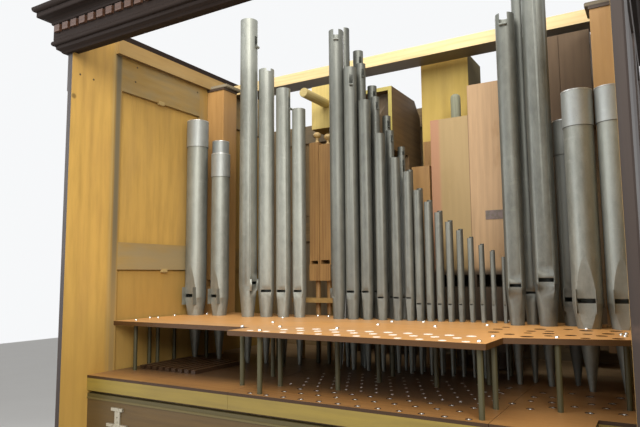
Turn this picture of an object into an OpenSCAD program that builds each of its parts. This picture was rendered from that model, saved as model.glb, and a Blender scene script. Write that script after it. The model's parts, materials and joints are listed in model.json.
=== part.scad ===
// Chamber pipe organ, seen from its open front: a panelled case, the wind chest,
// the drilled toe boards and rackboard, metal flue pipes and the wooden pipes behind.
// Origin: centre of the case on the floor. +Z up, +Y from the front to the back.

/* [Case] */
// From the left side wall to the first pipe of the front row
left_bay = 633; // [625:1:670]
// From the last treble pipe to the right side wall
right_bay = 349.3; // [340:0.1:380]
// Thickness of the side walls and the frames
wall_t = 22; // [18:1:28]
// Height of the top of the chest above the floor
chest_z = 1380; // [1300:10:1450]
// How far the front posts stand out before the chest
post_out = 93; // [80:1:110]
// Width of the wide front posts
post_w = 166; // [150:1:180]
// Depth from the chest front to the back of the case
case_back = 1000; // [980:5:1060]
// Height of the side walls above the chest
wall_top = 1107; // [1095:1:1120]
// Thickness of the panels
panel_t = 10; // [8:1:14]
// Shrinkage gap above each panel
panel_gap = 4; // [2:0.5:6]
// Height of the plinth
plinth_h = 110; // [80:5:140]
// How far the plinth stands out
plinth_out = 10; // [5:1:20]

/* [Cornice] */
// Height at which the cornice begins, above the chest
cornice_z = 1004; // [990:1:1020]
// Greatest overhang of the cornice
cornice_out = 80; // [70:1:90]
// Width of a dentil block
dentil_w = 26; // [20:1:32]
// Space between dentil blocks
dentil_gap = 14; // [8:1:20]

/* [Chest] */
// Thickness of the chest table
table_t = 8; // [6:1:12]
// Thickness of the toe boards
toe_t = 8; // [8:1:12]
// Height of the wind chest
chest_h = 240; // [200:5:260]
// Depth of the wind chest
chest_d = 620; // [615:5:640]
// Depth of the step in the chest front at the right end
step_d = 138; // [100:1:145]
// Width of the step at the right end
step_w = 81; // [70:1:90]

/* [Rackboard] */
// Height of the underside of the rackboard above the toe boards
rack_z = 146; // [142:1:150]
// Thickness of the rackboard
rack_t = 13; // [10:0.5:14]
// Clearance round a pipe foot in its rack hole
rack_clear = 0.4; // [0.3:0.1:0.8]
// Diameter of the rack pillars
pillar_d = 13; // [10:1:15]

/* [Metal pipes] */
// Wall of a metal pipe
metal_t = 1.5; // [1:0.1:1.8]
// Steps for the diameter to halve
halving = 17; // [16:1:18]
// Diameter of the largest pipe of the front row
front_d = 50; // [46:0.5:50]
// Space between neighbours among the tenor pipes of the front row
tenor_gap = 2.9; // [2.5:0.1:5]
// Space between neighbours among the treble pipes of the front row
treble_gap = 3.25; // [3:0.05:5]
// Speaking length of the largest pipe of the front row
front_len = 897; // [850:1:920]
// Diameter of the largest pipe of the middle row
middle_d = 38; // [34:0.5:39]
// Speaking length of the largest pipe of the middle row
middle_len = 928; // [880:1:950]
// Diameter of the largest pipe of the back row
back_d = 36; // [32:0.5:37]
// Speaking length of the largest pipe of the back row
back_len = 844; // [800:1:860]
// Diameter of the tall open pipes, largest
tall_d = 66; // [60:0.5:67]
// Speaking length of the tall open pipes, largest
tall_len = 1024; // [980:1:1040]
// Diameter of the largest stopped pipe
stopped_d = 78; // [72:0.5:79]
// Speaking length of the largest stopped pipe
stopped_len = 665; // [640:1:680]
// Foot height of the tenor pipes
foot_h = 246; // [240:1:250]
// Foot height of the trebles
treble_foot_h = 211; // [206:1:216]
// Diameter at the toe of the largest pipes
toe_d = 14; // [12:0.5:16]

/* [Wooden pipes] */
// Wall of the corner pipes
corner_t = 9; // [7:0.5:11]
// Wall of the large wooden pipes
wood_t = 14; // [10:0.5:16]
// Width of the corner pipes
corner_w = 84; // [76:1:88]
// Depth of the corner pipes
corner_d = 80; // [76:1:84]

/* [Back beam] */
// Height of the beam section
beam_h = 41; // [36:1:46]
// Depth of the beam section
beam_d = 92; // [80:1:96]

/* [Hidden] */
$fn = 48;
eps = 0.01;

// Middle of the whole in depth, so that the origin lies under it
y_front = -post_out - cornice_out;
y_mid = (case_back + y_front) / 2;
floor_z = -chest_z;
post_y = post_w - post_out;
stile_w = 30;
rear_stile = [488, 603];
end_stile_w = 70;
rail_rows = [[floor_z + plinth_h + 110, -700], [-600, -160], [-40, 326], [417, 936]];
side_cols = [[post_y + stile_w, rear_stile[0]], [rear_stile[1], case_back - end_stile_w]];
beam_y = 680;
beam_z = 1070;

// Everything is drawn from the left inner wall, the chest front and the chest top
module at_case() {
    translate([-inner_w / 2, -y_mid, chest_z]) children();
}

// The same piece on the other side of the case
module both_sides() {
    children();
    translate([inner_w, 0, 0]) mirror([1, 0, 0]) children();
}

module right_side() {
    translate([inner_w, 0, 0]) mirror([1, 0, 0]) children();
}

// Case

// The floor of the case lies in the plinth, flush with its top
floor_t = 20;

module plinth_shape() {
    base_front = -post_out;
    ring_in = wall_t;
    difference() {
        translate([-wall_t - plinth_out, base_front - plinth_out, floor_z])
            cube([inner_w + 2 * (wall_t + plinth_out), case_back - base_front + plinth_out,
                plinth_h]);
        translate([0, base_front + ring_in, floor_z - 1])
            cube([inner_w, case_back - base_front - 2 * ring_in, plinth_h - floor_t + 1]);
        // Weathered top edge on the outside
        for (s = [0, 1])
            translate([s * inner_w, 0, floor_z + plinth_h]) mirror([s, 0, 0])
                translate([-wall_t - plinth_out, 0, 0]) rotate([0, 45, 0])
                    cube([plinth_out, 3 * case_back, plinth_out], center = true);
        translate([inner_w / 2, base_front - plinth_out, floor_z + plinth_h])
            rotate([45, 0, 0]) cube([2 * inner_w, plinth_out, plinth_out], center = true);
    }
}

module post_shape() {
    bead = 5;
    difference() {
        translate([-wall_t, -post_out, floor_z + plinth_h])
            cube([wall_t, post_w, wall_top - floor_z - plinth_h]);
        // Stopped chamfer on the outer front edge
        translate([-wall_t, -post_out, floor_z + plinth_h + 120]) rotate([0, 0, 45])
            translate([-bead / 2, -bead / 2, 0]) cube([bead, bead, cornice_z - floor_z - plinth_h - 240]);
    }
}

module side_frame_shape() {
    difference() {
        translate([-wall_t, post_y, floor_z + plinth_h])
            cube([wall_t, case_back - post_y, wall_top - floor_z - plinth_h]);
        for (c = side_cols, r = rail_rows)
            translate([-wall_t - 1, c[0], r[0]]) cube([wall_t + 2, c[1] - c[0], r[1] - r[0]]);
    }
}

// A fielded panel: flat inside, with a raised field outside
module fielded_panel(w, h) {
    border = 34;
    slope = panel_t * 0.45;
    cube([panel_t - slope, w, h]);
    // Tongue that closes the gap above, deep in the groove
    cube([2.5, w, h + panel_gap]);
    intersection() {
        translate([-slope, border, border]) cube([panel_t, w - 2 * border, h - 2 * border]);
        translate([-slope, 0, 0]) cube([panel_t, w, h]);
    }
}

module side_panels_shape() {
    for (c = side_cols, r = rail_rows)
        translate([-wall_t / 2 - panel_t * 0.3, c[0], r[0]])
            fielded_panel(c[1] - c[0], r[1] - r[0] - panel_gap);
}

module top_rail_shape() {
    rail_h = 51;
    rail_t = 16;
    translate([0, post_y, wall_top - rail_h]) cube([rail_t, beam_y - post_y, rail_h]);
}

module front_top_rail_shape() {
    translate([0, -post_out, cornice_z + 4])
        cube([inner_w, wall_t, wall_top - cornice_z - 4]);
}

// Outline of the cornice: overhang against height
function cornice_outline() = let (o = cornice_out, z = cornice_z)
    concat([[0, z], [o * 0.14, z], [o * 0.2, z + 6], [o * 0.32, z + 12], [o * 0.34, z + 22]],
        [for (a = [-90 : 22.5 : 90]) [o * 0.39 + 6 * cos(a), z + 30 + 8 * sin(a)]],
        [[o * 0.4, z + 42], [o * 0.4, z + 88], [o * 0.46, z + 90]],
        [for (a = [0 : 15 : 90]) [o * 0.46 + o * 0.38 * (1 - cos(a)), z + 92 + 18 * sin(a)]],
        [[o * 0.86, z + 112], [o * 0.86, z + 124]],
        [for (a = [0 : 18 : 90]) [o * 0.86 + o * 0.14 * sin(a), z + 138 - 12 * cos(a)]],
        [[o, z + 142], [0, z + 142]]);

module cornice_front() {
    reach = wall_t + cornice_out;
    intersection() {
        translate([-reach, -post_out, 0]) rotate([90, 0, 90])
            linear_extrude(inner_w + 2 * reach) mirror([1, 0]) polygon(cornice_outline());
        translate([0, 0, cornice_z - 1]) linear_extrude(200)
            polygon([[-wall_t, -post_out], [inner_w + wall_t, -post_out],
                [inner_w + reach, -post_out - cornice_out], [-reach, -post_out - cornice_out]]);
    }
}

module cornice_side() {
    reach = wall_t + cornice_out;
    intersection() {
        translate([-wall_t, case_back, 0]) rotate([90, 0, 0])
            linear_extrude(case_back + post_out + cornice_out) mirror([1, 0])
                polygon(cornice_outline());
        translate([0, 0, cornice_z - 1]) linear_extrude(200)
            polygon([[-wall_t, -post_out], [-reach, -post_out - cornice_out],
                [-reach, case_back], [-wall_t, case_back]]);
    }
}

module cornice_shape() {
    union() {
        cornice_front();
        both_sides() cornice_side();
    }
}

// Dentil blocks stand on the fascia under the crown
dentil_out = cornice_out * 0.4;
dentil_deep = 9;
dentil_h = 22;
dentil_z = cornice_z + 62;
dentil_pitch = dentil_w + dentil_gap;

module dentil_row(length) {
    n = floor((length - dentil_w) / dentil_pitch) + 1;
    rest = (length - ((n - 1) * dentil_pitch + dentil_w)) / 2;
    for (i = [0 : n - 1])
        translate([rest + i * dentil_pitch, -dentil_deep, 0]) cube([dentil_w, dentil_deep, dentil_h]);
}

module dentils_shape() {
    face = wall_t + dentil_out;
    translate([-face, -post_out - dentil_out, dentil_z]) dentil_row(inner_w + 2 * face);
    both_sides()
        translate([-face, case_back, dentil_z]) rotate([0, 0, -90])
            dentil_row(case_back + post_out + dentil_out - dentil_gap);
}

// Lower case

lower_top = -chest_h - 8;
front_y = 4;
front_cols = 3;
front_stile = 80;
lower_bottom = floor_z + plinth_h;

module panelled_frame(w, h, cols, t, stile, rows) {
    cell = (w - (cols + 1) * stile) / cols;
    difference() {
        cube([w, t, h]);
        for (i = [0 : cols - 1], r = rows)
            translate([stile + i * (cell + stile), -1, r[0]]) cube([cell, t + 2, r[1] - r[0]]);
    }
}

module panels_for_frame(w, cols, t, stile, rows) {
    cell = (w - (cols + 1) * stile) / cols;
    for (i = [0 : cols - 1], r = rows)
        translate([stile + i * (cell + stile), t / 2, r[0]])
            rotate([0, 0, 90]) translate([-panel_t * 0.3, -cell, 0])
                fielded_panel(cell, r[1] - r[0] - panel_gap);
}

front_rows = [[110, (lower_top - lower_bottom) / 2 - 40],
    [(lower_top - lower_bottom) / 2 + 40, lower_top - lower_bottom - 90]];
// The back closes the case to this height above the chest and is open over it
back_top = 975;
back_h = back_top - lower_bottom;
chest_rail = -table_t - lower_bottom;
back_rows = [[110, chest_rail / 2 - 40], [chest_rail / 2 + 40, chest_rail - 90],
    [chest_rail + 60, chest_rail + 460], [chest_rail + 540, back_h - 80]];

// Chest

module chest_plan(front, back) {
    polygon([[0, front], [inner_w - step_w, front], [inner_w - step_w, front + step_d],
        [inner_w, front + step_d], [inner_w, back], [0, back]]);
}

front_board_t = 22;
face_gap = 9;
upper_board_h = 37;
strip_h = 11;
lath_h = 5;
joint_gap = 1;
joint_back = 74;

module wind_chest_shape() {
    translate([0, 0, -chest_h - table_t]) linear_extrude(chest_h - toe_t)
        chest_plan(front_board_t, chest_d);
}

// Upper front board in two lengths with an open butt joint, a strip and a lath below it, and
// the boards of the recess
module front_boards_shape() {
    joint = 0.8;
    end = inner_w - step_w;
    z = -toe_t - upper_board_h;
    strip_z = z - face_gap - strip_h;
    below = chest_h + table_t + z - face_gap;
    translate([0, 0, z]) cube([(left_bay - joint_back) - joint / 2, front_board_t, upper_board_h]);
    translate([(left_bay - joint_back) + joint / 2, 0, z])
        cube([end - (left_bay - joint_back) - joint / 2, front_board_t, upper_board_h]);
    translate([0, 3, strip_z]) cube([end, front_board_t - 3, strip_h]);
    translate([0, 1, strip_z - lath_h]) cube([end, front_board_t - 1, lath_h]);
    translate([end, step_d, z]) cube([step_w, front_board_t, upper_board_h]);
    translate([end, step_d + 3, z - face_gap - below]) cube([step_w, front_board_t - 3, below]);
}

bung_z = -toe_t - upper_board_h - face_gap - strip_h - lath_h - joint_gap;
bung_h = chest_h + table_t + bung_z;
bung_t = 18;

module bung_board_shape() {
    end = inner_w - step_w;
    difference() {
        translate([0, front_board_t - bung_t, -chest_h - table_t]) cube([end, bung_t, bung_h]);
        translate([end / 2 - 0.5, 0, -chest_h - table_t - 1]) cube([1, bung_t - 4, bung_h + 2]);
    }
}

// Flat catches with a short upper arm and a long lower arm, that hold the bung board
catch_edge = 140;
catch_n = 3;
catch_drop = 42;

module turn_button() {
    arm_h = 9;
    upper = 48;
    lower = 86;
    spread = 47;
    stem = 22;
    thick = 4;
    rotate([90, 0, 0]) difference() {
        union() {
            translate([-stem / 2, -spread / 2, 0]) cube([stem, spread, thick]);
            translate([-upper / 2, spread / 2 - arm_h / 2, 0]) cube([upper, arm_h, thick + 3]);
            translate([-lower / 2, -spread / 2 - arm_h / 2, 0]) cube([lower, arm_h, thick + 3]);
        }
        translate([0, 0, -1]) cylinder(h = thick + 4, r = 2);
    }
}

module turn_buttons_shape() {
    span = inner_w - step_w - 2 * catch_edge;
    for (i = [0 : catch_n - 1])
        translate([catch_edge + i * span / (catch_n - 1), front_board_t - bung_t, bung_z - catch_drop])
            turn_button();
}

// Pipe places

row_skew = 0.1;
break_gap = 10.6;
front_n = 15;
middle_n = 14;
back_n = 4;
tenor_n = 5;

// Semitones below the largest pipe: minor thirds, then whole tones
function steps(i) = i < tenor_n ? 3 * i : 12 + 2 * (i - tenor_n + 1);
function length_at(base, s) = base * pow(2, -s / 12);
function width_at(base, s) = base * pow(2, -s / halving);
function foot_at(i) = i < 3 ? foot_h : i < 6 ? (foot_h + treble_foot_h) / 2 : treble_foot_h;
function toe_at(s) = toe_d / 2 * pow(2, -s / (2 * halving));
function width_of(i) = width_at(front_d, steps(i));
pitch_tenor = (width_of(0) + width_of(1)) / 2 + tenor_gap;
pitch_break = (width_of(tenor_n - 1) + width_of(tenor_n)) / 2 + break_gap;
pitch_treble = width_of(tenor_n) + treble_gap;
function row_x(i) = left_bay + (i < tenor_n ? pitch_tenor * i
    : pitch_tenor * (tenor_n - 1) + pitch_break + pitch_treble * (i - tenor_n));
function skew_y(x) = row_skew * (x - left_bay);
// Clear width between the side walls
inner_w = row_x(front_n - 1) + right_bay;

// One pipe is [x, y, diameter, foot height, speaking length, toe radius, mouth angle, slot angle]
function front_pipe(i) = let (s = steps(i), x = row_x(i))
    [x, 474 + skew_y(x), width_at(front_d, s), foot_at(i), length_at(front_len, s), toe_at(s),
        i == 0 ? -70 : -4, i < 2 ? 40 : 0];
function middle_pipe(i) = let (s = steps(i), x = row_x(i) + (i == 0 ? 6 : i < 4 ? 16 : i == 4 ? 4 : -10))
    [x, 522 + skew_y(x), width_at(middle_d, s), foot_at(i), length_at(middle_len, s),
        toe_at(s + 4), -10, i < 5 ? 60 : 0];
function back_pipe(i) = let (s = steps(i), x = row_x(i) + 38)
    [x, 562 + skew_y(x), width_at(back_d, s), foot_at(i), length_at(back_len, s),
        toe_at(s + 4), -10, i < 4 ? 60 : 0];
tall_steps = [1, 4, 6, 8];
tall_left_at = [[290, 432], [352, 456], [417, 468], [473, 484]];
tall_mouth = [88, 32, 8, 10];
function tall_left(i) = let (s = tall_steps[i])
    [tall_left_at[i][0], tall_left_at[i][1], width_at(tall_d, s), foot_h + (i == 0 ? 27 : 0),
        length_at(tall_len, s), toe_at(s), tall_mouth[i], i == 0 ? 75 : i == 2 ? 90 : 0];
tall_right_at = [[inner_w - 306, 472], [inner_w - 274, 520], [inner_w - 226, 480]];
tall_right_steps = [5, 11, 0];
function tall_right(i) = let (s = tall_right_steps[i])
    [tall_right_at[i][0], tall_right_at[i][1], width_at(tall_d, s),
        foot_h + (i == 2 ? 34 : i == 0 ? 20 : 0), length_at(tall_len, s), toe_at(s),
        i == 1 ? 0 : 8, i == 1 ? 0 : 30];
stopped_at = [[44, 432], [101, 500], [148, 446], [inner_w - 122, 452], [inner_w - 42, 460]];
stopped_steps = [0, 2, 4, 3, 3];
stopped_width_steps = [0, 6, 4, 1, 2];
stopped_turn = [4, 0, 0, 0, 8];
function stopped_pipe(i) = let (s = stopped_steps[i])
    [stopped_at[i][0], stopped_at[i][1], width_at(stopped_d, stopped_width_steps[i]),
        foot_h - 20, length_at(stopped_len, s), toe_at(s), stopped_turn[i], 0];

all_pipes = concat([for (i = [0 : front_n - 1]) front_pipe(i)],
    [for (i = [0 : middle_n - 1]) middle_pipe(i)],
    [for (i = [0 : back_n - 1]) back_pipe(i)],
    [for (i = [0 : 3]) tall_left(i)],
    [for (i = [0 : 2]) tall_right(i)],
    [for (i = [0 : 4]) stopped_pipe(i)]);

// Radius of the conical foot at a height above the toe
function foot_radius(p, h) = p[5] + (p[2] / 2 - p[5]) * h / p[3];

// A toe sits this deep in its countersink
seat = 2;
seat_clear = 0.3;
toe_z = -seat;

// Boards with holes

// Empty holes of the missing rows along the front: depth, toe hole radius, rack hole radius,
// first place from the first front pipe, and number
empty_pitch = 52;
empty_rows = [[18, 5, 7, -15, 12], [79, 5, 8, 51, 10], [128, 5.5, 9, 69, 10]];
// Further rows of small toe holes: depths, radius, first place from the first front pipe, pitch
// and number
small_rows = [176, 222, 268, 314, 360, 406];
small_r = 3.5;
small_x = 7;
small_pitch = 44;
small_n = 13;
// Empty holes at the right end: distance from the right wall, depth, toe and rack hole radius
right_holes = [[271, 214, 6, 13], [223, 176, 6, 15], [182, 214, 6, 11], [192, 268, 6, 14],
    [238, 262, 5, 10], [240, 312, 6, 12], [200, 328, 6, 12], [230, 375, 6, 15], [140, 246, 6, 13],
    [104, 196, 7, 11], [40, 216, 7, 13], [77, 262, 6, 13], [110, 292, 6, 11], [68, 320, 7, 14],
    [122, 380, 7, 16], [57, 396, 7, 15], [166, 400, 6, 12], [326, 330, 6, 13], [316, 250, 6, 14],
    [320, 394, 6, 11]];
// Raised slips across the left end: first place, pitch, width, height, front and back
slip_x = 52;
slip_pitch = 28;
slip_w = 17;
slip_h = 12;
slip_n = 9;
slip_y = [165, 400];

module countersunk(x, y, r, top) {
    sink = 3;
    translate([x, y, top - sink]) cylinder(h = sink + eps, r1 = r, r2 = r + sink);
    translate([x, y, top - toe_t - 1]) cylinder(h = toe_t + 1, r = r);
}

// Under each pipe: a countersink that takes the toe, and the wind hole
module toe_seat(p) {
    grip = p[5] + seat_clear;
    translate([p[0], p[1], toe_z - 1]) cylinder(h = seat + 1 + eps, r1 = grip - 1, r2 = grip + seat);
    translate([p[0], p[1], -toe_t - 1]) cylinder(h = toe_t + 1, r = grip - 2);
}

module board_strip(x0, x1) {
    translate([x0, 0, -toe_t]) cube([x1 - x0, chest_d, toe_t]);
}

module toe_boards_shape() {
    left = 242;
    gap = 1;
    right = inner_w - 270;
    for (i = [0 : slip_n - 1]) translate([slip_x + i * slip_pitch, slip_y[0], -1])
        cube([slip_w, slip_y[1] - slip_y[0], slip_h + 1]);
    difference() {
        union() {
            board_strip(0, left - gap);
            board_strip(left, (left_bay - joint_back) - gap);
            board_strip((left_bay - joint_back), right - gap);
            translate([0, 0, -toe_t]) linear_extrude(toe_t)
                polygon([[right, 0], [inner_w - step_w, 0], [inner_w - step_w, step_d],
                    [inner_w, step_d], [inner_w, chest_d], [right, chest_d]]);
        }
        for (p = all_pipes) toe_seat(p);
        for (r = empty_rows, i = [0 : r[4] - 1])
            countersunk(left_bay + r[3] + i * empty_pitch, r[0], r[1], 0);
        for (k = [0 : len(small_rows) - 1], i = [0 : small_n - 1])
            translate([left_bay + small_x + (i + k % 2 / 2) * small_pitch, small_rows[k], -toe_t - 1])
                cylinder(h = toe_t + 2, r = small_r, $fn = 24);
        for (h = right_holes) countersunk(inner_w - h[0], h[1], h[2], 0);
    }
}

module chest_table_shape() {
    translate([0, 0, -toe_t - table_t]) linear_extrude(table_t) chest_plan(front_board_t, chest_d);
}

rack_back = 600;
rack_left_y = 95;
rack_front_y = -3;
rack_right_y = [128, 205];
rack_x1 = left_bay - 75;
rack_x2 = inner_w - 269;
corner_clear = 4;

module rack_plan() {
    cx = corner_w + corner_clear;
    cy = 534 - corner_clear;
    polygon([[0, rack_left_y], [rack_x1, rack_left_y], [rack_x1, rack_front_y],
        [rack_x2, rack_front_y], [rack_x2 + 4, rack_right_y[0]], [inner_w, rack_right_y[1]],
        [inner_w, cy],
        [inner_w - cx, cy], [inner_w - cx, rack_back], [cx, rack_back], [cx, cy], [0, cy]]);
}

module rack_board_shape() {
    rack_top = rack_z + rack_t;
    difference() {
        translate([0, 0, rack_z]) linear_extrude(rack_t) rack_plan();
        for (p = all_pipes)
            translate([p[0], p[1], rack_z - 1])
                cylinder(h = rack_t + 2, r = foot_radius(p, rack_top - toe_z) + rack_clear);
        for (r = empty_rows, i = [0 : r[4] - 1])
            translate([left_bay + r[3] + i * empty_pitch, r[0], rack_z - 1])
                cylinder(h = rack_t + 2, r = r[2]);
        for (h = right_holes)
            translate([inner_w - h[0], h[1], rack_z - 1]) cylinder(h = rack_t + 2, r = h[3]);
    }
}

// Turned dowels between the toe boards and the rackboard
// Pillars placed from the left wall, from the first front pipe and from the right wall
pillars = concat([[58, 137], [12, 240], [41, 250], [12, 358], [66, 470], [445, 422], [533, 94],
    [527, 250], [509, 546], [553, 545], [330, 560]],
    [for (p = [[15, 20], [1, 133], [166, 161], [217, 309], [209, 425], [382, 320]])
        [left_bay + p[0], p[1]]],
    [for (p = [[290, 26], [289, 137], [159, 175], [29, 264], [376, 420], [356, 590]])
        [inner_w - p[0], p[1]]]);

module rack_pillars_shape() {
    for (p = pillars) translate([p[0], p[1], 0]) cylinder(h = rack_z, d = pillar_d);
}

// Metal flue pipes

// Outer or inner form of a pipe: conical foot, cylindrical body, flattened lips at the mouth
module pipe_form(r, rt, flat, foot, speak, over, lip_z, lip_h) {
    low = rt - (r - rt) * over / foot;
    out = flat + 1.1 * (r - flat + 1);
    difference() {
        union() {
            translate([0, 0, -over]) cylinder(h = foot + over, r1 = low, r2 = r);
            translate([0, 0, foot]) cylinder(h = speak + over, r = r);
        }
        // Lower lip: upright flat that runs out on the cone and ends within the mouth; upper
        // lip: leaning flat that runs out on the body in a pointed arch
        translate([-r - 1, 0, 0]) rotate([90, 0, 90]) linear_extrude(2 * r + 2)
            polygon([[-flat, foot / 3], [-flat, foot + lip_z], [-out, foot + lip_z + 1.1 * lip_h],
                [-3 * r, foot + lip_z + 1.1 * lip_h], [-3 * r, foot / 3]]);
    }
}

lip_share = 0.74;
lip_reach = 3.2;
cut_share = 0.24;
ear_t = 1.2;
windway = 0.8;
languid_t = 2.5;
// The tongue of a tuning slot is rolled this far off the wall
roll_gap = 0.3;
// Languid and mouth edge keep clear of the joint between foot and body
edge_clear = 0.4;

// ears is how far the plates beside the mouth stand out, as a share of the radius
module flue_pipe(p, ears) {
    r = p[2] / 2;
    foot = p[3];
    speak = p[4];
    flat = r * lip_share;
    lip_h = lip_reach * r;
    mouth_w = 2 * sqrt(r * r - flat * flat);
    cut_up = mouth_w * cut_share;
    lip_z = edge_clear + cut_up / 2;
    ear_low = mouth_w * 0.5;
    ear_high = mouth_w * (ears > 0.4 ? 0.72 : 0.45);
    side = ears > 0 ? 2 * ear_t + edge_clear : ear_t;
    slot_w = r * 0.56;
    slot_z = foot + speak - 2.9 * r;
    roll_r = r * 0.16;
    translate([p[0], p[1], toe_z]) rotate([0, 0, p[6]]) {
        difference() {
            union() {
                difference() {
                    pipe_form(r, p[5], flat, foot, speak, 0, lip_z, lip_h);
                    pipe_form(r - metal_t, p[5] - metal_t, flat - metal_t, foot, speak, 1, lip_z, lip_h);
                }
                // Languid: the plate across the pipe, short of the lower lip by the windway
                translate([0, 0, foot - edge_clear - languid_t]) difference() {
                    cylinder(h = languid_t, r = r - metal_t / 2);
                    translate([-r, -2 * r - flat + metal_t + windway, -1])
                        cube([2 * r, 2 * r, languid_t + 2]);
                }
                if (ears > 0) for (s = [-1, 1])
                    translate([s * (mouth_w / 2 - 1.5 * ear_t) - ear_t / 2, -flat - r * ears,
                        foot - ear_low])
                        cube([ear_t, r * ears + 2 * metal_t, ear_low + ear_high]);
            }
            // Mouth
            translate([side - mouth_w / 2, -2 * r, foot + edge_clear])
                cube([mouth_w - 2 * side, 2 * r - flat + metal_t + 1, cut_up]);
            // Tuning slot
            if (p[7] != 0) rotate([0, 0, p[7]])
                translate([-slot_w / 2, -r - 1, slot_z]) cube([slot_w, metal_t + r * 0.2, 1.6 * r]);
        }
        // Rolled tongue at the foot of the slot, with its root in the wall
        if (p[7] != 0) rotate([0, 0, p[7]]) translate([-slot_w / 2, -r, slot_z]) {
            translate([edge_clear, -roll_r - roll_gap, 0]) rotate([0, 90, 0]) difference() {
                cylinder(h = slot_w - 2 * edge_clear, r = roll_r, $fn = 24);
                translate([0, 0, -1]) cylinder(h = slot_w + 2, r = roll_r - 1, $fn = 24);
            }
            translate([2 * edge_clear, -roll_gap - 0.6, -1.4])
                cube([slot_w - 4 * edge_clear, roll_gap + 0.6 + metal_t * 0.8, 1]);
        }
    }
}

cap_t = 1.6;
cap_share = 1.25;
cap_gap = 0.3;
cap_seat = 0.1;

module stopped_cap(p) {
    r = p[2] / 2;
    h = p[2] * cap_share;
    top = p[3] + p[4];
    translate([p[0], p[1], toe_z + top - h + cap_seat]) difference() {
        cylinder(h = h + cap_t, r = r + cap_gap + cap_t);
        translate([0, 0, -1]) cylinder(h = h + 1, r = r + cap_gap);
    }
}

// Wooden pipes

// Square pipe: box with block, mouth, bevelled upper lip and a cap board before the block
module wood_pipe(w, d, t, h, foot, mouth_z, foot_r) {
    cut_up = w * 0.3;
    cap = t * 0.9;
    difference() {
        union() {
            translate([-w / 2, -d / 2, foot]) cube([w, d, h - foot]);
            translate([-w / 2, -d / 2 - cap, foot]) cube([w, cap + eps, mouth_z - foot - 2]);
            cylinder(h = foot + 1, r = foot_r);
        }
        // Bore above the block
        translate([-w / 2 + t, -d / 2 + t, mouth_z]) cube([w - 2 * t, d - 2 * t, h - mouth_z + 1]);
        // Mouth
        translate([-w / 2 + t, -d / 2 - 1, mouth_z]) cube([w - 2 * t, t + 2, cut_up]);
        // Bevel of the upper lip
        translate([-w / 2 + t, -d / 2, mouth_z + cut_up + 3.2 * t]) rotate([-17, 0, 0])
            translate([0, -2 * t, -3.6 * t]) cube([w - 2 * t, 2 * t, 3.6 * t]);
        // Throat in the block and windway under the cap
        translate([-w / 2 + t, -d / 2 - 0.8, foot + 12]) cube([w - 2 * t, 0.4 * d, mouth_z - foot - 24]);
        translate([-w / 2 + t, -d / 2 - 0.8, mouth_z - 13]) cube([w - 2 * t, 1.2, 14]);
        translate([0, 0, -1]) cylinder(h = foot + 14, r = foot_r * 0.45);
    }
}

// Turned handle of a stopper
module handle(r, h) {
    rotate_extrude() polygon(concat([[0, 0], [r * 0.55, 0], [r * 0.5, h * 0.12], [r * 0.34, h * 0.3],
        [r * 0.4, h * 0.48]],
        [for (a = [-60 : 15 : 75]) [r * cos(a), h * 0.72 + h * 0.27 * sin(a)]],
        [[0, h * 0.72 + h * 0.27]]));
}

corner_y = 534;
corner_top = 1045;
corner_x = corner_w / 2 + 1;

module corner_pipe() {
    translate([corner_x, corner_y + corner_d / 2, 0])
        wood_pipe(corner_w, corner_d, corner_t, corner_top, 90, 262, 14);
}

module corner_cap() {
    lip = 3;
    translate([1, corner_y - lip, corner_top])
        cube([corner_w + lip, corner_d + lip, 10]);
}

// Mitred pipe: a level limb with its stopped end to the front and an upright limb at the back
module mitred_pipe(x0, x1, y0, y1, z0, z1, t) {
    w = x1 - x0;
    limb = 126;
    foot = 60;
    mouth_z = 190;
    mitre = 80;
    translate([x0, 0, 0]) difference() {
        union() {
            translate([0, y0, z0]) cube([w, y1 - y0, z1 - z0]);
            translate([0, y1 - limb, foot]) cube([w, limb, z1 - foot]);
            translate([w / 2, y1 - limb / 2, 0]) cylinder(h = foot + 1, r = 18);
        }
        difference() {
            union() {
                translate([t, y0 - 1, z0 + t]) cube([w - 2 * t, y1 - y0 + 1 - t, z1 - z0 - 2 * t]);
                translate([t, y1 - limb + t, mouth_z])
                    cube([w - 2 * t, limb - 2 * t, z1 - mouth_z - t]);
            }
            translate([0, y1, z1]) rotate([45, 0, 0])
                cube([2 * w, mitre + 2 * t, mitre + 2 * t], center = true);
        }
        // Mouth in the front of the upright limb
        translate([t, y1 - limb - 1, mouth_z]) cube([w - 2 * t, t + 2, w * 0.25]);
        translate([w / 2, y1 - limb / 2, -1]) cylinder(h = mouth_z + 2, r = 8);
        // Mitred top corner at the back
        translate([0, y1, z1]) rotate([45, 0, 0]) cube([3 * w, mitre, mitre], center = true);
    }
}

mitre_back = 960;
mitre_left = [402, 548, 690, 868, 1040];
mitre_middle = [560, 747, 680, 751, 984];
mitre_right = [inner_w - 238, inner_w - 102, 690, 765, 1050];

module mitred(m) {
    mitred_pipe(m[0], m[1], m[2], mitre_back, m[3], m[4], wood_t);
}

// Recessed stopper block with a turned handle towards the front
module mitred_stopper(m, recess, grip) {
    fit = 0.3;
    in_w = m[1] - m[0] - 2 * wood_t - 2 * fit;
    in_h = m[4] - m[3] - 2 * wood_t - 2 * fit;
    union() {
        translate([m[0] + wood_t + fit, m[2] + recess, m[3] + wood_t + fit]) cube([in_w, 50, in_h]);
        translate([(m[0] + m[1]) / 2, m[2] + recess + 1, (m[3] + m[4]) / 2])
            rotate([90, 0, 0]) handle(grip, grip * 3.4);
    }
}

// Small stopped pipes behind the gap in the front row: place, width, depth, top
small_pipes = [[466, 622, 40, 50, 792], [513, 622, 46, 56, 780], [inner_w - 645, 690, 63, 80, 670],
    [inner_w - 646, 762, 40, 44, 775]];
small_t = 5;
small_mouth = 342;
small_foot = 282;

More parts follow.
